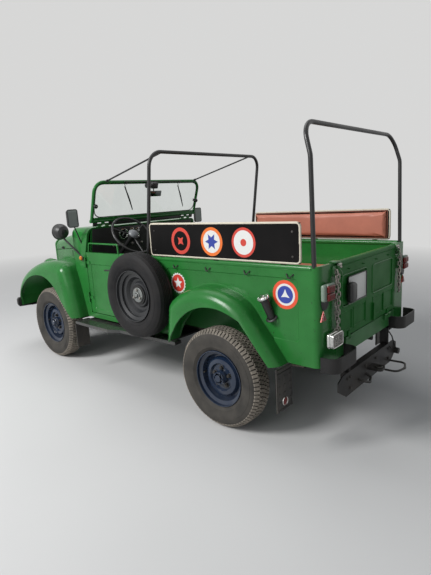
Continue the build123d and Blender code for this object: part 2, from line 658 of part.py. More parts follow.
def make_bumpers():
    """Front channel bumper on the rail ends, and the rear bow-shaped bumperettes."""
    bar = box(BUMPER_X - 40, BUMPER_X, -BUMPER_HALF, BUMPER_HALF, BUMPER_Z0, BUMPER_Z1)
    bar -= box(BUMPER_X - 41, BUMPER_X - 6, -BUMPER_HALF - 1, BUMPER_HALF + 1, BUMPER_Z0 + 6, BUMPER_Z1 - 6)
    for side in (1, -1):
        bar += box(FRAME_FRONT, BUMPER_X - 5, side * (RAIL_Y - 20), side * (RAIL_Y + 14), 515, 580)
    for side in (1, -1):
        hook = [(-8, 30), (44, 30), (44, 146), (8, 146)]
        bar += bent_tube([(BUMPER_X + dx, side * 300, BUMPER_Z0 + dz) for dx, dz in hook], 9, 18)
    parts["front_bumper"] = bar
    hoops = []
    x0, x1 = BODY_REAR - HOOP_DEPTH, BODY_REAR - 2
    for side in (1, -1):
        outer = box(x0, x1, side * HOOP_Y0, side * HOOP_Y1, HOOP_Z0, HOOP_Z1)
        outer = fillet(outer.edges().filter_by(Axis.Z).group_by(Axis.X)[0], HOOP_CORNER)
        inner = box(x0 + HOOP_T, x1 + 1, side * (HOOP_Y0 + HOOP_T), side * (HOOP_Y1 - HOOP_T), HOOP_Z0 - 1,
                    HOOP_Z1 + 1)
        hoop = outer - fillet(inner.edges().filter_by(Axis.Z).group_by(Axis.X)[0], HOOP_CORNER - HOOP_T)
        arm = box(x1 - 8, FRAME_REAR, side * HOOP_Y0, side * (HOOP_Y0 + 40), RAIL_Z0 + 10, BODY_BOTTOM - 2)
        hoops.append(hoop + arm)
    parts["rear_bumperettes"] = Compound(hoops)


HITCH_X = FRAME_REAR - 125
HITCH_Z = 330.0
HITCH_T = 20.0
HITCH_R = 12.5
BAR_REAR = FRAME_REAR - 65
BAR_HALF = 500.0
BAR_Z0 = 243.0
BAR_Z1 = 405.0
WALL_T = 8.0


def make_hitch():
    """Tow crossbar hung from the rail ends, with a drilled tongue, a ring, a side loop and a cable socket."""
    right = [(0, BAR_Z0), (110 - BAR_HALF, BAR_Z0), (-BAR_HALF, BAR_Z0 + 70), (-BAR_HALF, BAR_Z1 - 30),
             (60 - BAR_HALF, BAR_Z1), (0, BAR_Z1)]
    half = plate_yz(right, BAR_REAR, BAR_REAR + WALL_T)
    bar = half + mirrored(half)
    for z in (BAR_Z0, BAR_Z1 - WALL_T):
        bar += box(BAR_REAR, BAR_REAR + 50, -BAR_HALF + 130, BAR_HALF - 130, z, z + WALL_T)
    for side in (1, -1):
        bar += box(BAR_REAR, FRAME_REAR, side * 330, side * 340, BAR_Z0 + 60, RAIL_Z1 - 60)
        bar += box(FRAME_REAR - 8, FRAME_REAR, side * 330, side * 378, BAR_Z1 - 20, RAIL_Z1 - 60)
    low, high = HITCH_Z - HITCH_T / 2, HITCH_Z + HITCH_T / 2
    tongue = box(HITCH_X - 38, BAR_REAR + 2, -45, 45, low, high)
    bar += fillet(tongue.edges().filter_by(Axis.Z).group_by(Axis.X)[0], 30)
    bar += bent_tube([(BAR_REAR + 4, 70, 300), (BAR_REAR - 34, 72, 280), (BAR_REAR - 48, 120, 262),
                      (BAR_REAR - 34, 190, 290), (BAR_REAR + 4, 192, 300)], 9, 16)
    loop_z = BAR_Z0 + 6
    loop = [(4, -390), (-110, -400), (-150, -290), (-120, -190), (4, -185)]
    bar += bent_tube([(BAR_REAR + dx, y, loop_z) for dx, y in loop], 5, 40)
    bar += rod((BAR_REAR - 34, -470, 312), (BAR_REAR + 4, -470, 312), 24)
    bar += bent_tube([(FRAME_REAR - 4, -330, 516), (FRAME_REAR - 52, -350, 512), (FRAME_REAR - 56, -430, 440),
                      (BAR_REAR - 12, -468, 328)], 5, 24)
    bar -= rod((HITCH_X, 0, low - 20), (HITCH_X, 0, high + 20), HITCH_R)
    parts["tow_hitch"] = bar


def make_boards():
    """Running boards under the doors and the mud flaps behind the wheels."""
    plan = [(590, BODY_HALF), (590, 845), (60, 850), (-60, 800), (-720, 770), (-720, BODY_HALF)]
    board = plate_xy(plan, 488, 514)
    web = box(-640, 560, RAIL_Y + RAIL_W / 2, BODY_HALF + 10, 494, 510)
    board += web - box(-200, 120, 300, 690, 400, 600)
    board = fillet(board.edges().filter_by(Axis.Z).group_by(Axis.X)[-1], 10)
    pair("running_boards", board)
    flaps = []
    for side in (1, -1):
        flaps.append(box(-1712, -1704, side * 680, side * 852, 245, BODY_BOTTOM))
        flaps.append(box(578, 586, side * 715, side * 852, 255, 487))
    parts["mud_flaps"] = Compound(flaps)


DOOR_AXIS_X = DOOR_FRONT + 1
DOOR_AXIS_Y = BODY_HALF + 12


def make_doors():
    """Front-hinged door with a grab rail over its front half."""
    x0, x1 = DOOR_REAR + DOOR_GAP, DOOR_FRONT - DOOR_GAP
    door = box(x0, x1, BODY_HALF - DOOR_T, BODY_HALF, DOOR_BOTTOM + DOOR_GAP, SIDE_TOP)
    door -= pressed_rect(((x0 + x1) / 2, BODY_HALF, 838), (-1, 0, 0), (0, 0, 1), x1 - x0 - 116, 430, 22)
    door = fillet(door.edges().filter_by(Axis.Y).sort_by(Axis.Z)[0:2], 20)
    y = BODY_HALF - DOOR_T / 2
    rail = bent_tube([(x1 - 20, y, SIDE_TOP - 2), (x1 - 40, y, SIDE_TOP + 83), (x0 + 30, y, SIDE_TOP + 80),
                      (x0 + 24, y, SIDE_TOP - 2)], 8, 14)
    door += rail
    fixed_all = None
    for z in (730, 1064):
        fixed, moving = hinge((DOOR_AXIS_X, DOOR_AXIS_Y, z), (0, 0, 1), 96, 8)
        door += moving
        leaf = box(DOOR_AXIS_X - 60, DOOR_AXIS_X, BODY_HALF, BODY_HALF + 6, z - 14, z + 14)
        door += leaf + box(DOOR_AXIS_X - 12, DOOR_AXIS_X - 5, BODY_HALF, DOOR_AXIS_Y, z - 14, z + 14)
        both_leaves = box(DOOR_AXIS_X + 1, DOOR_AXIS_X + 60, BODY_HALF, BODY_HALF + 6, z - 48, z + 48)
        both_leaves += box(DOOR_AXIS_X + 1, DOOR_AXIS_X + 8, BODY_HALF, DOOR_AXIS_Y, z + 17, z + 48)
        both_leaves += box(DOOR_AXIS_X + 1, DOOR_AXIS_X + 8, BODY_HALF, DOOR_AXIS_Y, z - 48, z - 17)
        both_leaves -= rod((DOOR_AXIS_X, DOOR_AXIS_Y, z - 17), (DOOR_AXIS_X, DOOR_AXIS_Y, z + 17), 10)
        fixed_all = fixed + both_leaves if fixed_all is None else fixed_all + fixed + both_leaves
    both("door", door)
    parts["cowl"] += fixed_all + mirrored(fixed_all)


TAILGATE_AXIS_X = BODY_REAR - 10
TAILGATE_AXIS_Z = TAILGATE_BOTTOM - 2


def make_tailgate():
    """Bottom-hinged tailgate with pressed panels, and the sill that carries its hinges."""
    half = TAILGATE_HALF - DOOR_GAP
    gate = box(BODY_REAR - 6, BODY_REAR + 28, -half, half, TAILGATE_BOTTOM + 10, SIDE_TOP - 2)
    gate += rod((BODY_REAR + 4, -half, SIDE_TOP - 18), (BODY_REAR + 4, half, SIDE_TOP - 18), 19)
    back, across, up = BODY_REAR - 6, (0, -1, 0), (0, 0, 1)
    # y of the middle, z of the middle, width, height, corner
    for y, z, width, height, corner in ((236, 962, 376, 206, 26), (-236, 962, 376, 206, 26),
                                        (354, 758, 150, 130, 10), (162, 758, 190, 130, 10),
                                        (-162, 758, 190, 130, 10), (-354, 758, 150, 130, 10)):
        gate -= pressed_rect((back, y, z), across, up, width, height, corner)
    gate += plate_yz([(-48, 664), (-104, 664), (-56, 792)], back - 14, back + 2)
    sill = box(BODY_REAR, BODY_REAR + SIDE_T, -TAILGATE_HALF, TAILGATE_HALF, BODY_BOTTOM, TAILGATE_BOTTOM)
    for y in (-330, 330):
        fixed, moving = hinge((TAILGATE_AXIS_X, y, TAILGATE_AXIS_Z), (0, 1, 0), 110, 8)
        x, z = TAILGATE_AXIS_X, TAILGATE_AXIS_Z
        lug = box(x - 4, BODY_REAR - 4, y - 15, y + 15, z + 5, z + 40)
        gate += moving + lug
        base = box(x - 4, BODY_REAR + 2, y - 55, y + 55, z - 34, z - 5)
        notch = box(x - 30, BODY_REAR - 1, y - 18.5, y + 18.5, z - 12, z)
        base -= notch
        sill += base + fixed
    parts["tailgate"] = gate
    parts["floor_tub"] += sill


SCREEN_X = PILLAR_X - (SCREEN_Z - SIDE_TOP) * 0.333


def make_screen():
    """Folding windscreen: tube frame with round upper corners, and one sheet of glass."""
    lean = Location((SCREEN_X, 0, SCREEN_Z), (0, -SCREEN_LEAN, 0))
    w, h, r = SCREEN_HALF, SCREEN_H, SCREEN_TUBE_R
    z0 = SCREEN_BAR_Z
    loop = FilletPolyline((0, -w, z0), (0, -w, h), (0, w, h), (0, w, z0), radius=95)
    frame = sweep(Plane(origin=loop @ 0, z_dir=loop % 0) * Circle(r), path=loop)
    frame += rod((0, -w - r, z0), (0, w + r, z0), r)
    sheet = make_face(Wire(loop.edges() + [Line(loop @ 1, loop @ 0)]))
    glass = extrude(sheet, amount=GLASS_T / 2, both=True) - frame
    for y in (-540, 540):
        fixed, moving = hinge((SCREEN_X, y, SCREEN_Z), (0, 1, 0), 120, 9)
        lug = box(-6, 6, y - 17, y + 17, 6, z0 - 6)
        frame += lug + hinge((0, y, 0), (0, 1, 0), 120, 9)[1]
        parts["cowl"] += fixed
        for end in (-1, 1):
            stand = box(SCREEN_X - 8, SCREEN_X + 4, y + end * 24, y + end * 58, COWL_TOP, SCREEN_Z - 3)
            stand += box(SCREEN_X - 8, SCREEN_X + 34, y + end * 24, y + end * 58, COWL_TOP, COWL_TOP + 4)
            parts["cowl"] += stand
    parts["windscreen_frame"] = lean * frame
    parts["windscreen_glass"] = lean * glass


def make_seats():
    """Front bucket seats on boxes: base, cushion and back."""
    seats = []
    for y in (WHEEL_Y, -WHEEL_Y):
        cushion = fillet(box(-330, 110, y - 215, y + 215, 830, 920).edges().filter_by(Axis.Z), 40)
        back = plate_xz([(-330, 925), (-250, 925), (-340, 1330), (-400, 1330)], y - 210, y + 210)
        base = box(-300, 80, y - 180, y + 180, FLOOR_TOP, 830)
        seats.append(cushion + back + base + box(-330, -250, y - 180, y + 180, 918, 930))
    parts["front_seats"] = Compound(seats)


def make_benches():
    """Side benches over the wheel boxes: frame, cushion, back board and pad on each side."""
    rows = {"bench_frames": [], "bench_backs": [], "bench_pads": []}
    middle = (BENCH_X0 + BENCH_X1) / 2
    for side in (1, -1):
        y0, y1 = side * 290, side * 672
        rows["bench_pads"].append(box(BENCH_X0, BENCH_X1, y0, y1, 896, 960))
        frame = box(BENCH_X0, BENCH_X1, y0, y1, WHEEL_BOX_TOP, 896)
        for x in (BENCH_X0 + 40, middle, BENCH_X1 - 40):
            frame += box(x - 20, x + 20, y0, side * 320, FLOOR_TOP, WHEEL_BOX_TOP + 2)
        rows["bench_frames"].append(frame)
        board = box(BENCH_X0, BENCH_X1, side * 690, side * 704, BOARD_Z0, BOARD_Z1)
        for x in (BENCH_X0 + 120, middle, BENCH_X1 - 120):
            board += box(x - 20, x + 20, side * 690, side * 700, SIDE_TOP - 5, BOARD_Z0 + 1)
        rows["bench_backs"].append(board - parts["body_sides"])
        rows["bench_pads"].append(box(BENCH_X0 + 8, BENCH_X1 - 8, side * 640, side * 690,
                                      BOARD_Z0 + 6, BOARD_Z1 - 6))
    for name, solids in rows.items():
        parts[name] = Compound(solids)


def make_bows():
    """Tube bows of the folding top, with stays forward to the windscreen header."""
    foot = SIDE_TOP - 8
    front = bent_tube([(-395, BOW_Y, foot), (-510, BOW_Y, 1960), (-510, -BOW_Y, 1960),
                       (-395, -BOW_Y, foot)], BOW_R, BOW_BEND)
    x = BODY_REAR + 36
    rear = bent_tube([(x, BOW_Y, foot), (x + 14, BOW_Y, 1790), (x + 72, BOW_Y - 20, 1985),
                      (x + 72, 20 - BOW_Y, 1985), (x + 14, -BOW_Y, 1790), (x, -BOW_Y, foot)], BOW_R, 125)
    for side in (1, -1):
        tip = (STAY_END_X, side * STAY_Y, STAY_END_Z)
        front += rod((-510, side * STAY_Y, 1960), tip, 7)
        front += rod((STAY_END_X - 22, side * STAY_Y, STAY_END_Z + 4), tip, 11)
    parts["canopy_bows"] = Compound([front - parts["body_sides"], rear - parts["body_sides"]])


def make_spare():
    """Spare wheel on a bracket against the left side, with its dished side outwards."""
    y = SPARE_Y
    parts["spare_tyre"] = tyre(SPARE_X, y, SPARE_Z, SPARE_R, SPARE_W)
    parts["spare_rim"] = rim(SPARE_X, y, SPARE_Z, -1)
    bracket = rod((SPARE_X, BODY_HALF, SPARE_Z), (SPARE_X, y - 14, SPARE_Z), 60)
    bracket += rod((SPARE_X, y - 20, SPARE_Z), (SPARE_X, y + 24, SPARE_Z), 20)
    bracket += rod((SPARE_X, y - 4, SPARE_Z), (SPARE_X, y + 6, SPARE_Z), 80)
    parts["spare_carrier"] = bracket


def make_steering():
    """Steering box and column, and the three-spoke wheel that turns on it."""
    c, s = cos(radians(COLUMN_SLOPE)), sin(radians(COLUMN_SLOPE))

    def along(t, side=0.0):
        return WHEEL_X + c * t, WHEEL_Y + side, WHEEL_Z - s * t

    column = rod(along(46), along(760), 20)
    column -= rod(along(40), along(90), 10 + PIN_GAP)
    foot = along(760)
    column += box(foot[0] - 70, foot[0] + 70, WHEEL_Y - 42, WHEEL_Y + 42, RAIL_Z1, foot[2] + 40)
    parts["steering_column"] = column
    hole = rod(along(0), along(800), 26)
    parts["cowl"] -= hole
    plane = Plane(origin=along(0), x_dir=(0, 1, 0), z_dir=(-c, 0, s))
    ring = plane * Torus(STEER_R, 11)
    turn = ring + rod(along(-14), along(42), 34) + rod(along(30), along(86), 10)
    for a in (90, 210, 330):
        end = plane.from_local_coords((cos(radians(a)) * STEER_R, sin(radians(a)) * STEER_R, 0))
        start = plane.from_local_coords((0, 0, -6))
        turn += rod(tuple(start), tuple(end), 7)
    parts["steering_wheel"] = turn


def make_levers():
    """Gear lever and transfer lever: boot, stalk and knob."""
    levers = []
    # foot x, foot y, knob x, knob y, knob z, stalk radius, knob radius
    table = ((340, 20, 255, 55, 1000, 8, 20), (335, -75, 300, -90, 880, 7, 17))
    for fx, fy, kx, ky, kz, stalk, knob in table:
        lever = rod((fx, fy, FLOOR_TOP), (fx, fy, FLOOR_TOP + 30), 34)
        lever += rod((fx, fy, FLOOR_TOP + 10), (kx, ky, kz), stalk)
        levers.append(lever + rod((kx, ky, kz - knob), (kx, ky, kz + knob), knob))
    parts["gear_levers"] = Compound(levers)


def make_lights():
    """Tail lamps on brackets at the rear corners, the reversing lamps below them, and the fuel filler."""
    lamps = []
    for side in (1, -1):
        lamp = box(BODY_REAR - 46, BODY_REAR, side * 580, side * 678, 940, 1052)
        lamps.append(fillet(lamp.edges().filter_by(Axis.X), 14))
        lamps.append(plate_yz([(side * 588, 936), (side * 660, 936), (side * 660, 862), (side * 628, 820),
                               (side * 588, 862)], BODY_REAR - 26, BODY_REAR))
        low = box(BODY_REAR - 66, BODY_REAR, side * 500, side * 640, 650, 744)
        lamps.append(fillet(low.edges().filter_by(Axis.X), 20))
    parts["tail_lights"] = Compound(lamps)
    neck = rod((-1594, BODY_HALF - 2, 800), (-1566, BODY_HALF + 52, 948), 26)
    neck -= box(-1700, -1500, BODY_HALF - 100, BODY_HALF, 600, 1000)
    neck -= parts["rear_fenders"]
    neck = neck.solids().sort_by(lambda v: v.volume)[-1]
    parts["fuel_filler"] = neck


def make_mirrors():
    """Door mirrors on long arms from the cowl, and the round spot lamp ahead of the left one."""
    mirrors = []
    for side, head in ((1, (500, 800, 1480)), (-1, (470, -800, 1410))):
        foot = (560, side * (BODY_HALF - 4), 1240)
        arm = rod(foot, (head[0] + 8, head[1] - side * 10, head[2] - 60), 6)
        arm -= box(400, 800, side * 500, side * BODY_HALF, 1000, 1400)
        arm = arm.solids().sort_by(lambda v: v.volume)[-1]
        glass = Pos(*head) * Box(24, 104, 160)
        mirrors.append(fillet(glass.edges().filter_by(Axis.X), 30) + arm)
    parts["mirrors"] = Compound(mirrors)
    bowl = [(0, -58), (30, -52), (56, -34), (70, -8), (74, 12), (74, 34), (66, 40), (0, 40)]
    lamp = Location((735, 790, 1357), (0, 0, -90)) * Location((0, 0, 0), (6, 0, 0)) * turned(bowl, 0, 0, 0)
    arm = rod((590, BODY_HALF - 6, 1120), (726, 786, 1300), 9)
    arm -= box(400, 900, 500, BODY_HALF, 1000, 1400)
    arm = arm.solids().sort_by(lambda v: v.volume)[-1]
    parts["spot_lamp"] = lamp + arm


for step in (make_wheels, make_axles, make_knuckles, make_springs, make_frame, make_drive, make_exhaust,
             make_tank, make_floor, make_sides, make_rear_fenders, make_front_fenders, make_cowl, make_hood,
             make_nose, make_bumpers, make_hitch, make_boards, make_doors, make_tailgate, make_screen,
             make_seats, make_benches, make_bows, make_spare, make_steering, make_levers, make_lights,
             make_mirrors):
    step()

stand = Location((ORIGIN_SHIFT, 0, 0)) * Location((0, 0, 0), (0, RAKE, 0))
for name, piece in parts.items():
    solids = piece.solids()
    shape = solids[0] if len(solids) == 1 else Compound(list(solids))
    export_step(stand * shape, f"parts/{name}.step")
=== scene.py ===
from math import cos, pi, radians, sin

import bmesh
import bpy
from mathutils import Matrix, Vector


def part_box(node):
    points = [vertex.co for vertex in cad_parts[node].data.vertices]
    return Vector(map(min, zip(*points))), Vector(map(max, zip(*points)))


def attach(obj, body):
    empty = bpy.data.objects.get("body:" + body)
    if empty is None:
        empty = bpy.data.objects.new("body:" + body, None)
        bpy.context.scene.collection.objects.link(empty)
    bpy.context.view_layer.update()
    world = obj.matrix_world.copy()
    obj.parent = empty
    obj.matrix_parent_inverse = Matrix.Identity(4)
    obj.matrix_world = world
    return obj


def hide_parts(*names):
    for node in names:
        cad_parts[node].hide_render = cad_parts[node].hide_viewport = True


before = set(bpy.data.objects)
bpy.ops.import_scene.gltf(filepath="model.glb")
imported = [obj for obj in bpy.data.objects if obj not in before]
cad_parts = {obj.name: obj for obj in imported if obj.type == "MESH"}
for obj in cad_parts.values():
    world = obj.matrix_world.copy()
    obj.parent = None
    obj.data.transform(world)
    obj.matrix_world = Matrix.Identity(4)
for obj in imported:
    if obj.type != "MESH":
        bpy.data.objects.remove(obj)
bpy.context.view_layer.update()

# Looks of the light army 4x4 car. Pieces are drawn in millimetres in the car's own level frame, with x
# forward from the middle of the wheelbase, y to the left and z up, and LEVEL sets them in the row frame.
RAKE = radians(2.0)
ORIGIN_SHIFT = 0.1
MM = 0.001
LEVEL = Matrix.Translation((ORIGIN_SHIFT, 0, 0)) @ Matrix.Rotation(RAKE, 4, "Y") @ Matrix.Scale(MM, 4)

# Main sizes, as in the part
TYRE_R, TYRE_W = 365.0, 176.0
SPARE_R, SPARE_W = 345.0, 164.0
RIM_R = 207.0
BODY_HALF = 703.0
STUD_CIRCLE_R = 69.85
FLOOR_TOP = 612.5
# x of the body's rear wall, which the part calls BODY_REAR
WALL = -1925.0
SIDES = (("left", 1), ("right", -1))
WHEELS = [(f"{end}_{name}", side) for end in ("front", "rear") for name, side in SIDES]
REARWARD = (-1, 0, 0)
# Radius of the points where a turned profile meets its axis
AXIS = 0.001


def centre(node):
    """Middle of a CAD node's box, in metres."""
    low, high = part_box(node)
    return (low + high) / 2


# Shapes. A chunk is (points, faces), and functions make, move and join chunks.

def joined(*chunks):
    """One chunk from several."""
    points, faces = [], []
    for p, f in chunks:
        base = len(points)
        points.extend(p)
        faces.extend([tuple(i + base for i in face) for face in f])
    return points, faces


def moved(chunk, matrix):
    return [matrix @ Vector(p) for p in chunk[0]], chunk[1]


def shifted(chunk, x=0.0, y=0.0, z=0.0):
    return moved(chunk, Matrix.Translation((x, y, z)))


def mirrored(chunk):
    """Same chunk on the other side of the car."""
    return [Vector((p[0], -p[1], p[2])) for p in chunk[0]], [tuple(reversed(f)) for f in chunk[1]]


def both_sides(chunk):
    """Chunk and its mirror image."""
    return joined(chunk, mirrored(chunk))


def lathe(profile, steps=64, closed=False):
    """Turns (radius, height) points about the z axis."""
    n = len(profile)
    points = []
    for i in range(steps):
        a = 2 * pi * i / steps
        points.extend([Vector((r * cos(a), r * sin(a), h)) for r, h in profile])
    faces = []
    last = n if closed else n - 1
    for i in range(steps):
        a, b = i * n, (i + 1) % steps * n
        for j in range(last):
            k = (j + 1) % n
            faces.append((a + j, b + j, b + k, a + k))
    return points, faces


def aimed(chunk, start, way, roll=0.0):
    """Stands a chunk made round the z axis at start, with its z axis along way."""
    turn = Vector(way).to_track_quat("Z", "Y").to_matrix().to_4x4()
    return moved(chunk, Matrix.Translation(start) @ turn @ Matrix.Rotation(roll, 4, "Z"))


def taken(bm):
    """Chunk from a bmesh, which is freed."""
    bm.verts.index_update()
    chunk = [v.co.copy() for v in bm.verts], [tuple(v.index for v in f.verts) for f in bm.faces]
    bm.free()
    return chunk


def block(x0, x1, y0, y1, z0, z1, bevel=2.0, segments=2):
    """Block with rounded edges."""
    bm = bmesh.new()
    bmesh.ops.create_cube(bm, size=1.0)
    size = Vector((abs(x1 - x0), abs(y1 - y0), abs(z1 - z0)))
    mid = Vector(((x0 + x1) / 2, (y0 + y1) / 2, (z0 + z1) / 2))
    for v in bm.verts:
        v.co = Vector([v.co[i] * size[i] + mid[i] for i in range(3)])
    if bevel:
        bmesh.ops.bevel(bm, geom=list(bm.edges), offset=min(bevel, 0.45 * min(size)), segments=segments,
                        affect="EDGES", profile=0.5)
    return taken(bm)


def prism(outline, height, bevel=0.0):
    """Flat outline of x, y points raised along z, with its rims rounded."""
    bm = bmesh.new()
    face = bm.faces.new([bm.verts.new((x, y, 0)) for x, y in outline])
    made = bmesh.ops.extrude_face_region(bm, geom=[face])
    for v in made["geom"]:
        if isinstance(v, bmesh.types.BMVert):
            v.co.z += height
    bmesh.ops.recalc_face_normals(bm, faces=list(bm.faces))
    if bevel:
        rims = [e for e in bm.edges if abs(e.verts[0].co.z - e.verts[1].co.z) < 1e-6]
        bmesh.ops.bevel(bm, geom=rims, offset=bevel, segments=2, affect="EDGES", profile=0.5)
    return taken(bm)


def disc(radius, height, bevel=0.0, steps=40):
    """Round plate with a bevelled rim, from z 0 to height."""
    flat = radius - bevel
    return lathe([(AXIS, 0), (flat, 0), (radius, bevel), (radius, height - bevel), (flat, height),
                  (AXIS, height)], steps)


def tube(points, radius, sides, closed=False):
    """Round bar along points, with flat ends."""
    points = [Vector(p) for p in points]
    count = len(points)
    turns = [2 * pi * k / sides for k in range(sides)]
    rings = []
    normal = None
    for i, p in enumerate(points):
        ahead = points[(i + 1) % count] if closed or i + 1 < count else p
        behind = points[i - 1] if closed or i else p
        way = (ahead - behind).normalized()
        if normal is None:
            normal = way.orthogonal().normalized()
        normal = (normal - way * normal.dot(way)).normalized()
        side = way.cross(normal)
        rings.append([p + normal * radius * cos(a) + side * radius * sin(a) for a in turns])
    verts = [v for ring in rings for v in ring]
    faces = []
    for i in range(count if closed else count - 1):
        a, b = i * sides, (i + 1) % count * sides
        for k in range(sides):
            n = (k + 1) % sides
            faces.append((a + k, a + n, b + n, b + k))
    if not closed:
        faces.append(tuple(reversed(range(sides))))
        faces.append(tuple(range((count - 1) * sides, count * sides)))
    return verts, faces


def rounded(points, radius, steps, closed):
    """Path through straight runs with its corners rounded."""
    points = [Vector(p) for p in points]
    count = len(points)
    path = []
    for i, p in enumerate(points):
        if not closed and i in (0, count - 1):
            path.append(p)
            continue
        a, b = points[i - 1] - p, points[(i + 1) % count] - p
        cut = min(radius, 0.48 * a.length, 0.48 * b.length)
        start, end = p + a.normalized() * cut, p + b.normalized() * cut
        for k in range(steps + 1):
            t = k / steps
            path.append(start * (1 - t) ** 2 + p * 2 * t * (1 - t) + end * t * t)
    return path


def arc(radius, start, end, steps):
    """Points of a flat arc, with its angles in degrees."""
    angles = [radians(start + (end - start) * i / steps) for i in range(steps + 1)]
    return [(radius * cos(a), radius * sin(a)) for a in angles]


def repeated(chunk, count, first=0.0):
    """Copies of a chunk evenly round the z axis."""
    turns = [first + 2 * pi * i / count for i in range(count)]
    return joined(*[moved(chunk, Matrix.Rotation(a, 4, "Z")) for a in turns])


def hexagon(radius, height):
    """Nut or bolt head with a domed top."""
    head = prism(arc(radius, 0, 300, 5), height, bevel=height * 0.16)
    return joined(head, shifted(disc(radius * 0.55, height * 0.35), z=height))


def bent(points, corner, steps, radius, sides, closed=False):
    """Round bar through straight runs with rounded corners."""
    return tube(rounded(points, corner, steps, closed), radius, sides, closed)


def square(x, y0, y1, z0, z1):
    """Corners of an upright rectangle that faces forward."""
    return [(x, y0, z0), (x, y1, z0), (x, y1, z1), (x, y0, z1)]


def bolt(radius, height, where, way):
    """Hexagon head at where that points along way."""
    return aimed(hexagon(radius, height), where, way)


def upright(outline, thick, bevel, x, way=1):
    """Plate across the car, from an outline of y, z points: it starts at x and grows along way times x."""
    stand = Matrix(((0, 0, way, x), (1, 0, 0, 0), (0, 1, 0, 0), (0, 0, 0, 1)))
    return moved(prism(outline, thick, bevel), stand)


def piece(name, material, *chunks, body="chassis", place=LEVEL, slot=None, sharp=35.0):
    """Object of the car that rides on a CAD body."""
    points, faces = joined(*chunks)
    mesh = bpy.data.meshes.new(name)
    mesh.from_pydata([place @ Vector(p) for p in points], [], faces)
    bm = bmesh.new()
    bm.from_mesh(mesh)
    bmesh.ops.recalc_face_normals(bm, faces=list(bm.faces))
    bm.to_mesh(mesh)
    bm.free()
    mesh.shade_smooth()
    mesh.set_sharp_from_angle(angle=radians(sharp))
    mesh.materials.append(M[material])
    obj = bpy.data.objects.new(name, mesh)
    bpy.context.scene.collection.objects.link(obj)
    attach(obj, body)
    return obj


# Materials

def feed(tree, socket, value):
    """Links a node's output to an input socket, or gives the socket a value."""
    if isinstance(value, bpy.types.NodeSocket):
        tree.links.new(value, socket)
    elif hasattr(value, "__len__") and len(value) == 3 and len(socket.default_value) == 4:
        socket.default_value = (*value, 1)
    else:
        socket.default_value = value


def add_node(tree, kind, inputs=None, **settings):
    made = tree.nodes.new("ShaderNode" + kind)
    for key, value in settings.items():
        setattr(made, key, value)
    for key, value in (inputs or {}).items():
        feed(tree, made.inputs[key], value)
    return made


class Nodes:
    """Short way to add shader nodes to one material."""

    def __init__(self, name):
        self.material = bpy.data.materials.new(name)
        self.material.use_nodes = True
        self.tree = self.material.node_tree
        self.shader = self.tree.nodes["Principled BSDF"]
        self.place = self.add("TexCoord").outputs["Object"]

    def add(self, kind, inputs=None, **settings):
        return add_node(self.tree, kind, inputs, **settings)

    def noise(self, scale, detail=3.0):
        return self.add("TexNoise", {"Vector": self.place, "Scale": scale, "Detail": detail}).outputs["Fac"]

    def ramp(self, value, low, high, to_low=0.0, to_high=1.0):
        inputs = {"Value": value, "From Min": low, "From Max": high, "To Min": to_low, "To Max": to_high}
        return self.add("MapRange", inputs).outputs[0]

    def times(self, a, b):
        return self.add("Math", {0: a, 1: b}, operation="MULTIPLY").outputs[0]

    def mix(self, factor, a, b):
        return self.add("Mix", {0: factor, 6: a, 7: b}, data_type="RGBA").outputs[2]

    def height(self):
        return self.add("SeparateXYZ", {"Vector": self.place}).outputs[2]

    def set(self, **values):
        names = {"colour": "Base Color", "rough": "Roughness", "metal": "Metallic", "normal": "Normal",
                 "clear": "Transmission Weight", "ior": "IOR", "specular": "Specular IOR Level"}
        for key, value in values.items():
            feed(self.tree, self.shader.inputs[names[key]], value)

    def bump(self, height, strength, distance):
        made = self.add("Bump", {"Height": height, "Strength": strength, "Distance": distance})
        self.set(normal=made.outputs[0])


M = {}
DUST = (0.33, 0.27, 0.19)


def finish(key, name, colour, other, rough, mottle=5.0, dust=0.0, dust_top=0.75, grain=180.0,
           relief=0.0006, strength=0.25, chips=None, **shader):
    """Adds a surface whose colour and gloss vary, with dust low down, fine relief and small chips."""
    n = Nodes(name)
    broad = n.noise(mottle, 4.0)
    fine = n.noise(grain, 2.0)
    colour_out = n.mix(n.ramp(broad, 0.35, 0.65), colour, other)
    if chips:
        spots = n.ramp(n.noise(95.0, 1.0), 0.735, 0.75)
        colour_out = n.mix(spots, colour_out, chips)
    if dust:
        low = n.ramp(n.height(), dust_top, 0.05)
        patches = n.ramp(n.noise(9.0, 5.0), 0.3, 0.75)
        amount = n.times(n.times(low, patches), dust)
        colour_out = n.mix(amount, colour_out, DUST)
    n.set(colour=colour_out, rough=n.ramp(broad, 0.3, 0.7, *rough), **shader)
    n.bump(fine, strength, relief)
    M[key] = n.material


GREEN, GREEN_DEEP = (0.022, 0.165, 0.032), (0.016, 0.132, 0.024)
finish("paint", "green_paint", GREEN, GREEN_DEEP, (0.16, 0.3), dust=0.16, dust_top=0.7, grain=60.0,
       relief=0.0004, strength=0.12, chips=(0.02, 0.035, 0.018), specular=0.28)
# Darker copy of the green paint for the tailgate and its fittings: painted shade, with a duller gloss
finish("rear_paint_painted_shade", "dull_green_paint_painted_shade", (0.017, 0.14, 0.025), (0.012, 0.108, 0.018), (0.3, 0.44),
       dust=0.08, dust_top=0.7, grain=60.0, relief=0.0004, strength=0.12, specular=0.08)
finish("inner", "inner_green_paint", (0.026, 0.155, 0.036), (0.02, 0.12, 0.028), (0.3, 0.45), dust=0.1,
       chips=(0.1, 0.09, 0.07), strength=0.15, specular=0.3)
finish("black", "black_frame_paint", (0.012, 0.012, 0.013), (0.022, 0.021, 0.02), (0.32, 0.55), dust=0.12,
       dust_top=0.6, specular=0.3)
finish("under", "underbody_black", (0.015, 0.015, 0.015), (0.035, 0.03, 0.025), (0.6, 0.85), dust=0.5)
finish("bow", "bow_black_paint", (0.01, 0.01, 0.011), (0.018, 0.018, 0.018), (0.28, 0.42),
       chips=(0.09, 0.06, 0.04))
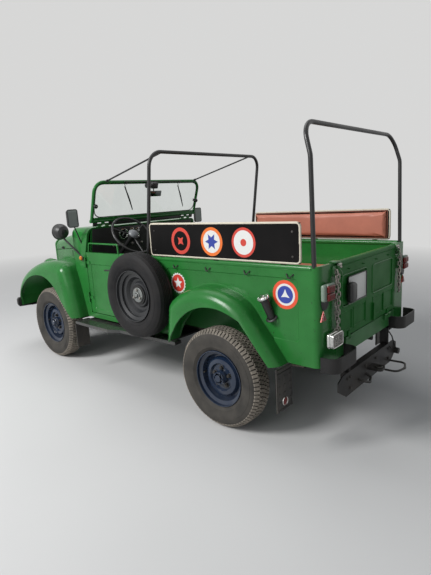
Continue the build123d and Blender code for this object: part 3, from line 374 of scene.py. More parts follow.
finish("tread", "tyre_tread_rubber", (0.15, 0.132, 0.11), (0.255, 0.224, 0.185), (0.82, 0.95),
       mottle=14.0, grain=260.0, strength=0.5)
finish("sidewall", "tyre_sidewall_rubber", (0.036, 0.034, 0.031), (0.064, 0.059, 0.052), (0.62, 0.8),
       mottle=9.0, grain=320.0, strength=0.35, specular=0.2)
finish("spare", "spare_tyre_rubber", (0.014, 0.014, 0.015), (0.022, 0.021, 0.021), (0.5, 0.66), mottle=9.0,
       grain=320.0, strength=0.3, specular=0.12)
finish("rim", "rim_blue_black", (0.009, 0.019, 0.044), (0.014, 0.026, 0.052), (0.1, 0.22), dust=0.08,
       dust_top=0.5, specular=0.6)
finish("spare_rim", "spare_rim_grey_black", (0.016, 0.017, 0.019), (0.024, 0.025, 0.027), (0.3, 0.42))
finish("rubber", "black_rubber", (0.014, 0.014, 0.014), (0.026, 0.025, 0.024), (0.42, 0.62), dust=0.2)
finish("board_paint", "black_board_paint", (0.006, 0.006, 0.006), (0.011, 0.01, 0.01), (0.55, 0.7),
       mottle=3.0, grain=90.0, strength=0.35, specular=0.05)
finish("step", "running_board_black", (0.022, 0.024, 0.025), (0.032, 0.034, 0.035), (0.16, 0.3), dust=0.2,
       specular=0.6)
finish("plastic", "black_plastic", (0.013, 0.013, 0.014), (0.02, 0.02, 0.02), (0.3, 0.42))
finish("iron", "cast_iron_grey", (0.1, 0.1, 0.1), (0.15, 0.145, 0.14), (0.6, 0.8), metal=0.3)
finish("grey", "grey_zinc_paint", (0.17, 0.18, 0.175), (0.24, 0.25, 0.24), (0.38, 0.52), metal=0.4)
finish("steel", "dull_steel", (0.3, 0.29, 0.27), (0.42, 0.4, 0.37), (0.34, 0.52), metal=0.9)
finish("chrome", "chrome_plate", (0.72, 0.72, 0.7), (0.62, 0.62, 0.6), (0.08, 0.18), metal=1.0,
       strength=0.05)
finish("bench", "bench_vinyl_brown", (0.5, 0.17, 0.108), (0.43, 0.142, 0.09), (0.42, 0.55), grain=420.0,
       strength=0.35, mottle=6.0)
finish("seat", "black_seat_vinyl", (0.014, 0.014, 0.014), (0.022, 0.022, 0.022), (0.42, 0.55), grain=420.0,
       strength=0.3)
finish("trim", "beige_edge_wood", (0.55, 0.5, 0.4), (0.62, 0.57, 0.46), (0.5, 0.65), mottle=20.0)
finish("white", "white_enamel", (0.72, 0.72, 0.7), (0.66, 0.66, 0.64), (0.28, 0.4))
finish("red", "red_enamel", (0.6, 0.055, 0.035), (0.52, 0.045, 0.03), (0.3, 0.4))
finish("orange", "orange_enamel", (0.8, 0.17, 0.02), (0.72, 0.15, 0.02), (0.3, 0.4))
finish("blue", "blue_enamel", (0.025, 0.05, 0.33), (0.02, 0.04, 0.27), (0.3, 0.4))
finish("orange_red", "orange_red_enamel", (0.78, 0.085, 0.03), (0.7, 0.07, 0.025), (0.3, 0.4))
finish("lamp_grey", "lamp_housing_grey_green", (0.2, 0.26, 0.21), (0.15, 0.2, 0.16), (0.35, 0.5),
       dust=0.2)
finish("paint_worn", "worn_green_paint", GREEN, (0.06, 0.13, 0.06), (0.28, 0.5), mottle=30.0,
       chips=(0.3, 0.29, 0.26))
finish("steel_dark", "blackened_steel", (0.05, 0.048, 0.045), (0.09, 0.085, 0.08), (0.4, 0.6), metal=0.8)
finish("chain", "chain_steel", (0.2, 0.195, 0.18), (0.3, 0.28, 0.25), (0.35, 0.5), metal=0.9)
# Mirror glass that reflects only a little, so that it shows dark: a painted dark reflection
finish("mirror", "dark_reflection_mirror_glass", (0.13, 0.15, 0.14), (0.11, 0.12, 0.12), (0.03, 0.06), metal=1.0,
       strength=0.02)
finish("crackle", "black_crackle_paint", (0.012, 0.012, 0.012), (0.02, 0.02, 0.02), (0.45, 0.6),
       grain=520.0, relief=0.0008, strength=0.5)
finish("dial_black", "dial_face_black", (0.008, 0.008, 0.009), (0.012, 0.012, 0.012), (0.4, 0.5),
       strength=0.05)
finish("grey_cap", "grey_hub_cap", (0.22, 0.235, 0.24), (0.18, 0.19, 0.2), (0.22, 0.34), strength=0.08)
finish("bench_dark", "bench_vinyl_piping", (0.25, 0.085, 0.052), (0.21, 0.07, 0.045), (0.45, 0.55),
       grain=420.0, strength=0.3)


def glass(key, name, colour, rough, clear=1.0):
    """Adds a clear or tinted glass or lens."""
    n = Nodes(name)
    tint = n.mix(n.ramp(n.noise(6.0), 0.3, 0.7), colour, [0.96 * c for c in colour])
    n.set(colour=tint, rough=rough, clear=clear, ior=1.45)
    M[key] = n.material


glass("glass", "windscreen_clear", (0.93, 0.97, 0.95), 0.01)
glass("lens", "lamp_lens_clear", (0.95, 0.95, 0.93), 0.04)
glass("red_lens", "lamp_lens_red", (0.15, 0.004, 0.003), 0.12, clear=0.0)
glass("amber_lens", "lamp_lens_amber", (0.85, 0.25, 0.02), 0.12, clear=0.4)

# CAD nodes by material. Road tyres and rims go by their names' ends, and the rest are painted.
NODE_MATERIALS = {
    "board_paint": "bench_backs",
    "inner": "bench_frames floor_tub",
    "bench": "bench_pads",
    "bow": "canopy_bows",
    "iron": "driveline engine",
    "steel_dark": "exhaust",
    "under": "front_axle fuel_tank ladder_frame leaf_springs left_knuckle right_knuckle rear_axle",
    "black": "front_bumper rear_bumperettes spare_carrier tow_hitch",
    "seat": "front_seats",
    "rubber": "fuel_filler mud_flaps",
    "plastic": "gear_levers mirrors spot_lamp steering_column steering_wheel",
    "step": "running_boards",
    "spare_rim": "spare_rim",
    "spare": "spare_tyre",
    "red_lens": "tail_lights",
    # The tailgate takes the darker copy of the green paint, which is painted shade
    "rear_paint_painted_shade": "tailgate",
    "glass": "windscreen_glass",
}
MATERIAL_OF = {node: kind for kind, nodes in NODE_MATERIALS.items() for node in nodes.split()}
ENDINGS = {"rim": "rim", "tyre": "sidewall"}
for name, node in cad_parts.items():
    by_ending = ENDINGS.get(name.split("_")[-1], "paint")
    node.data.materials.clear()
    node.data.materials.append(M[MATERIAL_OF.get(name, by_ending)])


# Tyres. Each is made about the z axis, with z across the wheel, and then set on its axle.

TREAD_DEPTH, TREAD_PITCHES = 10.0, 76
# Rows of tread blocks: low z, high z, then stagger, length and slant as shares of the pitch
ROAD_ROWS = [(3, 23, 0.0, 0.78, 0.12), (-23, -3, 0.5, 0.78, 0.12), (28, 49, 0.3, 0.8, 0.15),
             (-49, -28, 0.8, 0.8, 0.15), (54, 81, 0.05, 0.72, 0.0), (-81, -54, 0.55, 0.72, 0.0)]
# How far a block reaches into the carcass, and how much its top narrows
BLOCK_ROOT, BLOCK_TAPER = 3, 0.07
# Where the tread's flat ends, where its shoulder starts and ends, as shares of half the width
CROWN_FLAT, CROWN_SHOULDER, CROWN_END = 0.52, 0.78, 0.94
# Drop at the shoulder's start in millimetres, and at its end as a share of the radius
SHOULDER_DROP, END_DROP = 9, 0.08


def tyre_profile(radius, width, crown_drop):
    """Cross-section of a carcass from bead to bead."""
    w, top = width / 2, radius - crown_drop
    half = [(RIM_R + 1, 0.66 * w), (RIM_R + 9, 0.75 * w), (RIM_R + 24, 0.84 * w), (RIM_R + 27, 0.87 * w),
            (RIM_R + 32, 0.87 * w), (0.74 * radius, 0.97 * w), (0.79 * radius, 0.995 * w),
            (0.82 * radius, 0.995 * w), (0.825 * radius, 0.975 * w), (0.88 * radius, 0.965 * w),
            (0.92 * radius, 0.9 * w), (top - SHOULDER_DROP, 0.76 * w), (top, 0.5 * w), (top, 0)]
    return [(r, -z) for r, z in half] + [(r, z) for r, z in reversed(half[:-1])]


def crown(z):
    """A road tyre's tread radius at z across the wheel: flat, then down to its shoulders."""
    share = abs(z) / (TYRE_W / 2)
    if share < CROWN_FLAT:
        return TYRE_R
    if share < CROWN_SHOULDER:
        return TYRE_R - SHOULDER_DROP * (share - CROWN_FLAT) / (CROWN_SHOULDER - CROWN_FLAT)
    past = (share - CROWN_SHOULDER) / (CROWN_END - CROWN_SHOULDER)
    return TYRE_R - SHOULDER_DROP - (END_DROP * TYRE_R - SHOULDER_DROP) * past


def tread_blocks():
    """All the blocks of a road tyre's tread."""
    chunks = []
    pitch = 2 * pi / TREAD_PITCHES
    for z0, z1, stagger, length, skew in ROAD_ROWS:
        for i in range(TREAD_PITCHES):
            a0 = (i + stagger) * pitch
            corners = []
            for z, slant in ((z0, 0.0), (z1, skew)):
                for share in (0.0, length):
                    corners.append((a0 + (share + slant) * pitch, z))
            mid_a, mid_z = sum(c[0] for c in corners) / 4, (z0 + z1) / 2
            points = []
            for lift, inset in ((-TREAD_DEPTH - BLOCK_ROOT, 0.0), (0.0, BLOCK_TAPER)):
                for a, z in corners:
                    a2, z2 = a + (mid_a - a) * inset, z + (mid_z - z) * inset
                    r = crown(z2) + lift
                    points.append(Vector((r * cos(a2), r * sin(a2), z2)))
            faces = [(4, 5, 7, 6), (0, 1, 5, 4), (3, 2, 6, 7), (2, 0, 4, 6), (1, 3, 7, 5)]
            chunks.append((points, faces))
    return joined(*chunks)


def wheel_place(node, outward):
    """Sets a wheel drawn about z on a CAD wheel's middle, with its z axis outwards."""
    turn = Matrix.Rotation(RAKE, 4, "Y") @ Matrix.Rotation(-outward * pi / 2, 4, "X")
    return Matrix.Translation(centre(node)) @ turn @ Matrix.Scale(MM, 4)


def make_tyre(wheel, outward):
    """Carcass with its tread blocks, in the CAD tyre's place."""
    node, body = wheel + "_tyre", wheel + "_wheel"
    place = wheel_place(node, outward)
    carcass = lathe(tyre_profile(TYRE_R, TYRE_W, TREAD_DEPTH), 128)
    side = piece(node + "_carcass", "sidewall", carcass, body=body, place=place, slot="tyre")
    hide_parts(node)
    piece(node + "_tread", "tread", tread_blocks(), body=body, place=place, slot="tyre", sharp=20)


def make_spare_tyre():
    """Worn spare with five grooves where the road tyres have blocks."""
    place = wheel_place("spare_tyre", 1)
    shoulder = 0.55 * SPARE_W / 2
    profile = tyre_profile(SPARE_R, SPARE_W, 1.0)
    inner = [p for p in profile if p[1] < -shoulder]
    outer = [p for p in profile if p[1] > shoulder]
    grooves = []
    for z in (-32, -16, 0, 16, 32):
        grooves.extend([(SPARE_R - 1, z - 3), (SPARE_R - 8, z - 2)])
        grooves.extend([(SPARE_R - 8, z + 2), (SPARE_R - 1, z + 3)])
    carcass = lathe(inner + grooves + outer, 128)
    obj = piece("spare_tyre_ribbed", "spare", carcass, place=place, slot="tyre", sharp=25)
    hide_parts("spare_tyre")


# Wheels: nuts, hub flanges and valves

def dress_wheel(wheel, outward):
    """Five nuts, a bolted hub flange and the valve."""
    node, body = wheel + "_rim", wheel + "_wheel"
    place = wheel_place(node, outward)
    first = radians(-90 * outward)
    nut = shifted(joined(disc(16.5, 4, 1.0, 24), shifted(hexagon(13.5, 15), z=4)), x=STUD_CIRCLE_R, z=14)
    piece(node + "_nuts", "steel_dark", repeated(nut, 5, first=first), place=place, body=body)
    flange = joined(shifted(disc(47, 6, 1.5), z=56), shifted(disc(27, 10, 4), z=62))
    head = shifted(hexagon(6.5, 6), x=38, z=62)
    piece(node + "_hub_flange", "rim", flange, repeated(head, 6), place=place, body=body)
    valve = aimed(joined(disc(4, 26, 1, 12), shifted(disc(5, 9, 1, 12), z=24)), (176, 0, -2), (-0.25, 0, 1))
    piece(node + "_valve", "rubber", valve, place=place, body=body)


def dress_spare():
    """Clamp plate with its bolts."""
    place = wheel_place("spare_rim", 1)
    plate = joined(shifted(disc(60, 8, 2.0, 48), z=5), shifted(disc(26, 12, 5, 32), z=12),
                   shifted(disc(15, 8, 3, 24), z=23))
    head = shifted(hexagon(12, 13), x=42, z=12)
    piece("spare_clamp", "grey", plate, place=place)
    piece("spare_clamp_bolts", "steel", repeated(head, 3, first=0.5), place=place)


# Rear: tail lamps, reflectors, reversing lamp, plate, chains and latches

def ribbed_lens(x0, x1, y0, y1, z0, z1, count):
    """Lens moulding facing rearwards, with upright ribs."""
    edge = 8
    pitch = (y1 - y0 - 2 * edge) / count
    ribs = [block(x0 + 3, x1, y0, y1, z0, z1, 7, 3)]
    for i in range(count):
        left, right = y0 + edge + pitch * (i + 0.12), y0 + edge + pitch * (i + 0.88)
        ribs.append(block(x0, x0 + 8, left, right, z0 + edge, z1 - edge, 1.5, 1))
    return joined(*ribs)


def make_tail_lamps():
    """Tail lamps and reflectors at both corners."""
    housing = joined(block(WALL - 31, WALL, 584, 690, 950, 1053, 15, 4),
                     block(WALL - 41, WALL - 25, 584, 662, 1040, 1056, 6, 3))
    shell = piece("tail_lamp_housings", "lamp_grey", both_sides(housing), slot="lamp")
    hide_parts("tail_lights")
    lens = joined(ribbed_lens(WALL - 49, WALL - 25, 586, 664, 1000, 1046, 8),
                  ribbed_lens(WALL - 49, WALL - 25, 586, 664, 953, 997, 8))
    piece("tail_lamp_lenses", "red_lens", both_sides(lens), slot="lamp")
    foot = [(596, 952), (682, 952), (676, 920), (664, 896), (632, 896), (606, 920)]
    piece("tail_lamp_brackets", "black", both_sides(upright(foot, 10, 1.0, WALL, -1)))
    triangle, face = [(628, 830), (694, 830), (661, 890)], [(636, 835), (686, 835), (661, 880)]
    piece("rear_reflector_frames", "red", both_sides(upright(triangle, 8, 2.0, WALL, -1)))
    piece("rear_reflectors", "red_lens", both_sides(upright(face, 4, 1.2, WALL - 8, -1)))


def make_reversing_lamp():
    """Chrome lamp on the left side only, as in the photograph."""
    shell = joined(block(WALL - 39, WALL, 502, 642, 650, 746, 26, 6),
                   block(WALL - 51, WALL - 25, 506, 638, 655, 741, 14, 4))
    bezel = bent(square(WALL - 52, 507, 637, 656, 740), 20, 6, 5, 10, closed=True)
    reflector = block(WALL - 52.5, WALL - 49, 514, 630, 663, 733, 1.5, 1)
    piece("reversing_lamp_shell", "chrome", shell, bezel, slot="lamp_metal")
    piece("reversing_lamp_reflector", "steel", reflector, slot="lamp_metal")
    lens = ribbed_lens(WALL - 61, WALL - 52, 513, 631, 662, 734, 14)
    piece("reversing_lamp_lens", "lens", lens, slot="lamp")


def make_rear_plate():
    """Blank plate with its black lamp, on the tailgate."""
    body = "tailgate_leaf"
    piece("rear_plate", "white", block(WALL - 13, WALL - 7, 74, 342, 872, 1040, 1.2), body=body)
    rim = bent(square(WALL - 14, 70, 346, 868, 1044), 10, 4, 3.5, 8, closed=True)
    piece("rear_plate_frame", "plastic", rim, body=body)
    lamp = joined(block(WALL - 55, WALL - 11, 306, 374, 880, 1012, 16, 4),
                  block(WALL - 49, WALL - 17, 292, 310, 892, 1000, 6, 2))
    piece("plate_lamp", "plastic", lamp, body=body)
    piece("plate_lamp_lens", "lens", block(WALL - 47, WALL - 21, 286, 294, 900, 990, 3, 2), body=body)


def make_tailgate_trim():
    """Beads round the pressed panels, hooks along the top rail, and ribs."""
    body = "tailgate_leaf"
    beads = [bent(square(WALL - 6, y0, y1, 859, 1065), 30, 6, 5.0, 10, closed=True)
             for y0, y1 in ((48, 424), (-424, -48))]
    piece("tailgate_beads", "paint", *beads, body=body, slot="body_paint", sharp=70)
    hooks = []
    for y in (-330, -110, 110, 330):
        hooks.append(block(WALL - 8, WALL - 4, y - 12, y + 12, 1094, 1104, 1.5))
        path = [(WALL - 7, y - 7, 1099), (WALL - 17, y - 7, 1096), (WALL - 17, y + 7, 1096),
                (WALL - 7, y + 7, 1099)]
        hooks.append(bent(path, 4, 3, 2.0, 8))
    # Hooks and ribs take the same darker green as the tailgate: painted shade
    piece("tailgate_hooks", "rear_paint_painted_shade", *hooks, body=body)
    ribs = [block(WALL - 9, WALL - 3, y - 4, y + 4, 682, 832, 2.5, 2)
            for y in (442, 256, 62, -62, -256, -442)]
    piece("tailgate_ribs", "rear_paint_painted_shade", *ribs, body=body)


def make_tailgate_latches():
    """Latches with their pins at both ends of the tailgate."""
    body = "tailgate_leaf"
    grip = [(WALL - 19, 484, 1122), (WALL - 37, 486, 1104), (WALL - 33, 470, 1072), (WALL - 15, 462, 1064)]
    latch = joined(block(WALL - 25, WALL - 3, 470, 497, 1120, 1166, 5, 3),
                   block(WALL - 21, WALL + 25, 478, 530, 1160, 1170, 3, 2), bent(grip, 12, 4, 4.5, 10))
    piece("tailgate_latches", "paint_worn", both_sides(latch), body=body)
    pins = joined(aimed(disc(9, 34, 2, 16), (WALL - 21, 500, 1148), (0, -1, 0)),
                  bolt(9, 8, (WALL - 25, 482, 1134), REARWARD))
    piece("tailgate_latch_pins", "steel", both_sides(pins), body=body)


TOW_X = -2005.0


def make_hitch_trim():
    """Thick bent loop, bushes round the pin hole and bolts on the tow plate."""
    line = ((WALL - 16, -390), (WALL - 129, -400), (WALL - 165, -290), (WALL - 139, -190), (WALL - 16, -185))
    piece("tow_loop", "black", bent([(x, y, 249) for x, y in line], 40, 8, 8, 12))
    bush = lathe([(14, 0), (28, 0), (29, 2), (26, 7), (15, 7)], 40, closed=True)
    below = Matrix.Translation((TOW_X, 0, 320.5)) @ Matrix.Rotation(pi, 4, "X")
    piece("tow_bushes", "steel_dark", shifted(bush, TOW_X, 0, 339.5), moved(bush, below))
    bolts = []
    for side in (1, -1):
        for y, z in ((332, 366), (372, 366), (332, 290), (90, 366)):
            bolts.append(bolt(10, 8, (WALL - 20, side * y, z), REARWARD))
    piece("tow_plate_bolts", "steel_dark", *bolts)


def link(length, width, wire):
    """One oval chain link along z, its middle at the origin."""
    straight, r = length / 2 - width / 2, width / 2 - wire
    top = [(x, 0, straight + z) for x, z in arc(r, 0, 180, 6)]
    return tube(top + [(-x, 0, -z) for x, _, z in top], wire, 6, closed=True)


LINK_LENGTH, LINK_WIDTH, LINK_WIRE = 44.0, 27.0, 4.2
LINK_PITCH = LINK_LENGTH - 4 * LINK_WIRE + 0.6


def chain(points):
    """Links along a path, each turned a quarter from the last."""
    chunks = []
    shape = link(LINK_LENGTH, LINK_WIDTH, LINK_WIRE)
    path = [Vector(p) for p in points]
    run, index = 0.0, 0
    for a, b in zip(path, path[1:]):
        span = (b - a).length
        while run < span:
            chunks.append(aimed(shape, a + (b - a) * (run / span), b - a, roll=pi / 2 * (index % 2) + 0.4))
            run += LINK_PITCH
            index += 1
        run -= span
    return joined(*chunks)


def make_chains():
    """Chains hung double from the body's rear corners beside the tailgate."""
    strands = []
    for side, low in ((1, 738), (-1, 786)):
        y = side * 524
        path = [(WALL - 21, y, 1098)]
        for i in range(1, 8):
            drop = 1098 - (1098 - low) * i / 7
            path.append((WALL - 23 - 3 * sin(i * 1.3), y + side * (8 + 4 * sin(i * 0.9)), drop))
        for i in range(8):
            path.append((WALL - 27, y - side * 12 + 5 * sin(i * 1.1), low + (1104 - low) * i / 7))
        strands.append(chain(path))
        hook = [(WALL - 1, y, 1120), (WALL - 25, y, 1122), (WALL - 29, y, 1098),
                (WALL - 15, y - side * 8, 1088)]
        strands.append(bent(hook, 8, 4, 5, 10))
    piece("tailgate_chains", "chain", *strands)
    plate = joined(block(WALL - 11, WALL + 1, 504, 544, 1080, 1142, 3, 2),
                   bolt(7, 6, (WALL - 11, 536, 1090), REARWARD))
    piece("chain_plates", "paint_worn", both_sides(plate))


# Sides: canvas hooks, bolts, filler cap, discs of generic design

def make_canvas_hooks():
    """Hooks for the canvas along both sides, each between two bolts."""
    shapes = []
    for side in (1, -1):
        y = side * (BODY_HALF + 5)
        for x in (-724, -1054, -1402, -1731):
            path = [(x - 21, y, 1104), (x - 6, y + side * 10, 1085), (x + 6, y + side * 10, 1085),
                    (x + 21, y, 1104)]
            shapes.append(bent(path, 6, 3, 3.6, 8))
            for dx in (-23, 23):
                shapes.append(bolt(6, 4, (x + dx, side * BODY_HALF, 1105), (0, side, 0)))
    piece("canvas_hooks", "black", *shapes)


def make_filler_cap():
    """Chrome cap with a milled rim, its collar, and the seal at the neck's foot."""
    axis = Vector((28, 54, 148)).normalized()
    top = Vector((-1566, BODY_HALF + 52, 948))
    cap = lathe([(AXIS, 0), (33, 0), (35, 3), (35, 14), (32, 18), (22, 21), (AXIS, 22)], 40)
    milling = repeated(shifted(block(-3, 3, -2.4, 2.4, 2, 15, 1, 1), x=35), 18)
    wing = block(-26, 26, -4, 4, 20, 29, 3, 2)
    piece("filler_cap", "chrome", aimed(joined(cap, milling, wing), top, axis))
    collar = lathe([(25, -14), (30, -14), (31, -10), (31, 0), (25, 0)], 36, closed=True)
    piece("filler_collar", "rubber", aimed(collar, top, axis))
    base = lathe([(30, 0), (42, 0), (40, 4), (33, 8), (30, 8)], 36, closed=True)
    piece("filler_seal", "rubber", aimed(base, (-1592, BODY_HALF + 6, 815), (0.16, 0.5, 0.85)))


BOARD_FACE = 704.0


def badge(x, z, face, outline, layer):
    """Thin flat shape on a left-hand face that looks to +y; the outline's points are (forward, up)."""
    flat = prism([(-u, v) for u, v in outline], 0.35)
    # the outline's x and y become the car's -x and z, so that it faces outwards
    facing = Matrix(((-1, 0, 0, 0), (0, 0, 1, 0), (0, 1, 0, 0), (0, 0, 0, 1)))
    return shifted(moved(flat, facing), x=x, y=face + 0.3 * layer, z=z)


def star_points(outer, inner, count, first=0.0):
    points = []
    for i in range(2 * count):
        r = outer if i % 2 == 0 else inner
        a = radians(first + 180 * i / count)
        points.append((r * cos(a), r * sin(a)))
    return points


def ring_points(radius):
    return star_points(radius, radius, 24)


# Each disc: forward, up, the face it sits on, then its layers of material and outline, lowest first
DISCS = [
    (-797, 1292, BOARD_FACE, [("red", ring_points(98)), ("board_paint", ring_points(72)),
                              ("red", star_points(40, 18, 4, 45))]),
    (-1104, 1292, BOARD_FACE, [("orange", ring_points(100)), ("white", ring_points(78)),
                               ("blue", star_points(60, 30, 6))]),
    (-1384, 1292, BOARD_FACE, [("red", ring_points(98)), ("white", ring_points(80)),
                               ("red", ring_points(24))]),
    (-731, 969, BODY_HALF - 5, [("white", star_points(82, 72, 20)), ("red", ring_points(66)),
                                ("white", star_points(46, 20, 5, 90))]),
    (-1690, 975, BODY_HALF - 5, [("orange_red", ring_points(92)), ("white", ring_points(70)),
                                 ("blue", ring_points(56)), ("white", star_points(36, 14, 3, 90))]),
]


def make_discs():
    """Round signs of generic design on the left side, from thin layers."""
    for number, (x, z, face, layers) in enumerate(DISCS):
        for layer, (kind, outline) in enumerate(layers):
            piece(f"disc_{number}_{layer}", kind, badge(x, z, face, outline, layer), sharp=60)


def make_board_trim():
    """Beige edge round each back board, and its bolts."""
    x0, x1, z0, z1 = -1803, -455, 1176, 1416
    head = joined(disc(7.5, 2, 0.8, 20), shifted(hexagon(5, 3), z=1.6))
    edges, bolts = [], []
    for side in (1, -1):
        y = side * 697
        edges.append(bent([(x0, y, z0), (x1, y, z0), (x1, y, z1), (x0, y, z1)], 26, 5, 8.5, 10, closed=True))
        for x in (-1754, -506):
            for z in (1364, 1214):
                bolts.append(aimed(head, (x, side * BOARD_FACE, z), (0, side, 0)))
    piece("board_edges", "trim", *edges, slot="bench_cover")
    piece("board_bolts", "steel_dark", *bolts)


# Frames of reference: the windscreen's own, the dashboard's and the steering wheel's

def frame_at(origin, x_way, z_way):
    """Matrix whose x and z axes point along the given ways, in the car's level frame."""
    z = Vector(z_way).normalized()
    y = z.cross(Vector(x_way)).normalized()
    x = y.cross(z)
    turn = Matrix((x, y, z)).transposed().to_4x4()
    return LEVEL @ Matrix.Translation(origin) @ turn


SCREEN_LEAN = radians(18.4)
SCREEN_PLACE = LEVEL @ Matrix.Translation((414.8, 0, 1410.0)) @ Matrix.Rotation(-SCREEN_LEAN, 4, "Y")
ON_SCREEN = {"place": SCREEN_PLACE, "body": "windscreen"}
DASH_PLACE = frame_at((461.0, 0, 1222.0), (-60.0, 0, 324.0), (-324.0, 0, -60.0))
STEER_TILT = radians(40.0)
STEER_PLACE = frame_at((190.0, 375.0, 1293.0), (sin(STEER_TILT), 0, cos(STEER_TILT)),
                       (-cos(STEER_TILT), 0, sin(STEER_TILT)))


def make_windscreen():
    """Lower band with its screws, and the glass's seal. z runs up the frame."""
    band = block(-9, 9, -655, 655, 22, 66, 3, 2)
    piece("windscreen_lower_band", "paint", band, slot="body_paint", **ON_SCREEN)
    seal = bent(square(0, -647, 647, 68, 379), 84, 8, 5, 8, closed=True)
    apron = [block(-6, 6, a, b, -16, 24, 3, 2) for a, b in ((-648, -604), (-476, 476), (604, 648))]
    piece("windscreen_seal", "rubber", seal, *apron, **ON_SCREEN)
    studs = [bolt(5, 4, (-9, y, 44), REARWARD) for y in range(-600, 601, 150)]
    piece("windscreen_band_screws", "steel_dark", *studs, **ON_SCREEN)


def make_wipers():
    """Motor, linkage, and two arms with their blades."""
    motor = [block(-62, -14, -34, 46, 338, 398, 9, 3), aimed(disc(23, 62, 5, 28), (-38, 44, 366), (0, 1, 0)),
             aimed(disc(8, 30, 2, 16), (-20, -8, 382), (1, 0, 0))]
    lever = [block(-30, -24, -12, 12, 330, 376, 2, 2), block(-34, -28, -10, -2, 300, 346, 2, 2)]
    piece("wiper_motor", "plastic", *motor, *lever, **ON_SCREEN)
    links = [tube([(-22, -360, 402), (-22, 360, 402)], 4, 8)]
    for y in (-360, -30, 330):
        links.append(aimed(disc(9, 37, 2, 20), (-24, y, 386), (1, 0, 0)))
        links.append(block(-26, -20, y - 7, y + 7, 380, 408, 2, 2))
    piece("wiper_linkage", "steel_dark", *links, **ON_SCREEN)
    outline = [(-138, 0), (138, 0), (120, 9), (20, 15), (-20, 15), (-120, 9)]
    blade = moved(upright(outline, 6, 1, 4), Matrix.Rotation(radians(62), 4, "X"))
    arms = []
    for y in (-360, 330):
        arms.append(bent([(6, y, 386), (10, y, 378), (10.5, y - 60, 250), (9, y - 66, 236)], 20, 5, 3.0, 8))
        arms.append(shifted(blade, 1, y - 62, 232))
    piece("wiper_arms", "plastic", *arms, **ON_SCREEN)


def make_screen_fittings():
    """Inner mirror, and a clamp at each side of the frame."""
    stem = bent([(-52, 0, 300), (-36, 0, 318), (-30, 0, 350)], 10, 4, 4.5, 10)
    piece("inner_mirror_shell", "plastic", block(-66, -52, -84, 84, 262, 318, 6, 3), stem, **ON_SCREEN)
    piece("inner_mirror_glass", "mirror", block(-67.5, -65.5, -79, 79, 267, 313, 0.8), **ON_SCREEN)
    knob = joined(disc(19, 22, 3, 24), shifted(hexagon(8, 7), z=22))
    clamps = []
    for y in (650, -650):
        clamps.append(aimed(knob, (-14, y, 182), REARWARD))
        clamps.append(block(-18, 14, y - 18, y + 18, 168, 196, 5, 2))
    piece("windscreen_clamps", "plastic", *clamps, **ON_SCREEN)


def gauge(radius, ticks, hand):
    """Bezel, face, ticks with hand and glass of one round dial, looking along z."""
    bezel = lathe([(radius - 5, 0), (radius, 0), (radius + 2, 3), (radius + 1, 8), (radius - 4, 9),
                   (radius - 6, 6)], 40, closed=True)
    marks = []
    for i in range(ticks):
        long = 0.2 if i % 2 == 0 else 0.12
        mark = block(radius * (0.84 - long), radius * 0.84, -radius * 0.018, radius * 0.018, 3, 3.6, 0)
        marks.append(moved(mark, Matrix.Rotation(radians(225 - 270 * i / (ticks - 1)), 4, "Z")))
    tail, half = -0.16 * radius, 0.05 * radius
    pointer = shifted(prism([(tail, -half), (0.62 * radius, 0), (tail, half)], 0.8), z=4.0)
    marks.append(moved(pointer, Matrix.Rotation(radians(hand), 4, "Z")))
    marks.append(shifted(disc(0.1 * radius, 2.0, 0.5, 20), z=3.6))
    return bezel, disc(radius - 4, 3), joined(*marks), shifted(disc(radius - 5, 0.8), z=6.5)


# Dials on the dashboard: up, left, radius, number of ticks, angle of the hand
DIALS = [(78, 300, 52, 13, 215), (104, 196, 25, 7, 120), (104, 128, 25, 7, 160), (46, 196, 25, 7, 200),
         (46, 128, 25, 7, 90)]


def make_dashboard():
    """Black dashboard, and its instrument panel with the dials."""
    piece("dashboard_panel", "crackle", block(-158, 158, -650, 650, 0.5, 4, 1.5, 1), place=DASH_PLACE)
    piece("instrument_panel", "plastic", block(6, 146, 88, 366, 3, 9, 4, 2), place=DASH_PLACE)
    # each dial is turned so that its top points up the dashboard
    turn = Matrix.Rotation(-pi / 2, 4, "Z")
    dials = []
    for up, left, radius, ticks, hand in DIALS:
        dials.append([shifted(moved(chunk, turn), up, left, 9) for chunk in gauge(radius, ticks, hand)])
    parts = (("bezels", "chrome"), ("faces", "dial_black"), ("marks", "white"), ("glasses", "glass"))
    for (name, material), chunks in zip(parts, zip(*dials)):
        piece("dial_" + name, material, *chunks, place=DASH_PLACE)


def make_dash_knobs():
    """Row of knobs along the dashboard's foot."""
    knob = lathe([(AXIS, 0), (7, 0), (10, 4), (11, 9), (8, 14), (AXIS, 15)], 24)
    stems, knobs = [], []
    for left in (410, 360, 300, 240, 180, 120, 60):
        stems.append(shifted(disc(4.5, 22, 1, 12), -34, left, 3))
        knobs.append(shifted(knob, -34, left, 22))
        stems.append(shifted(disc(13, 5, 1.5, 24), -34, left, 3))
    piece("dash_knob_stems", "steel", *stems, place=DASH_PLACE)
    piece("dash_knobs", "plastic", *knobs, place=DASH_PLACE)


def make_glove_box():
    """Lid with its grip, and the passenger's grab rail."""
    lid = joined(block(-20, 118, -520, -220, 3, 9, 6, 3), block(44, 58, -236, -226, 8, 22, 3, 2))
    rail = bent([(-60, -190, 3), (-60, -190, 46), (-60, -560, 46), (-60, -560, 3)], 30, 6, 8, 12)
    piece("glove_box_lid", "crackle", lid, place=DASH_PLACE)
    piece("grab_rail", "plastic", rail, place=DASH_PLACE)


def make_steering_trim():
    """Grey domed hub cap in a black ring."""
    dome = lathe([(AXIS, 46), (18, 44), (34, 37), (45, 26), (50, 14), (50, 8), (AXIS, 8)], 48)
    ring = lathe([(46, 8), (52, 8), (54, 12), (52, 17), (47, 17)], 48, closed=True)
    piece("steering_hub_cap", "grey_cap", dome, place=STEER_PLACE, body="steering")
    piece("steering_hub_ring", "plastic", ring, place=STEER_PLACE, body="steering")


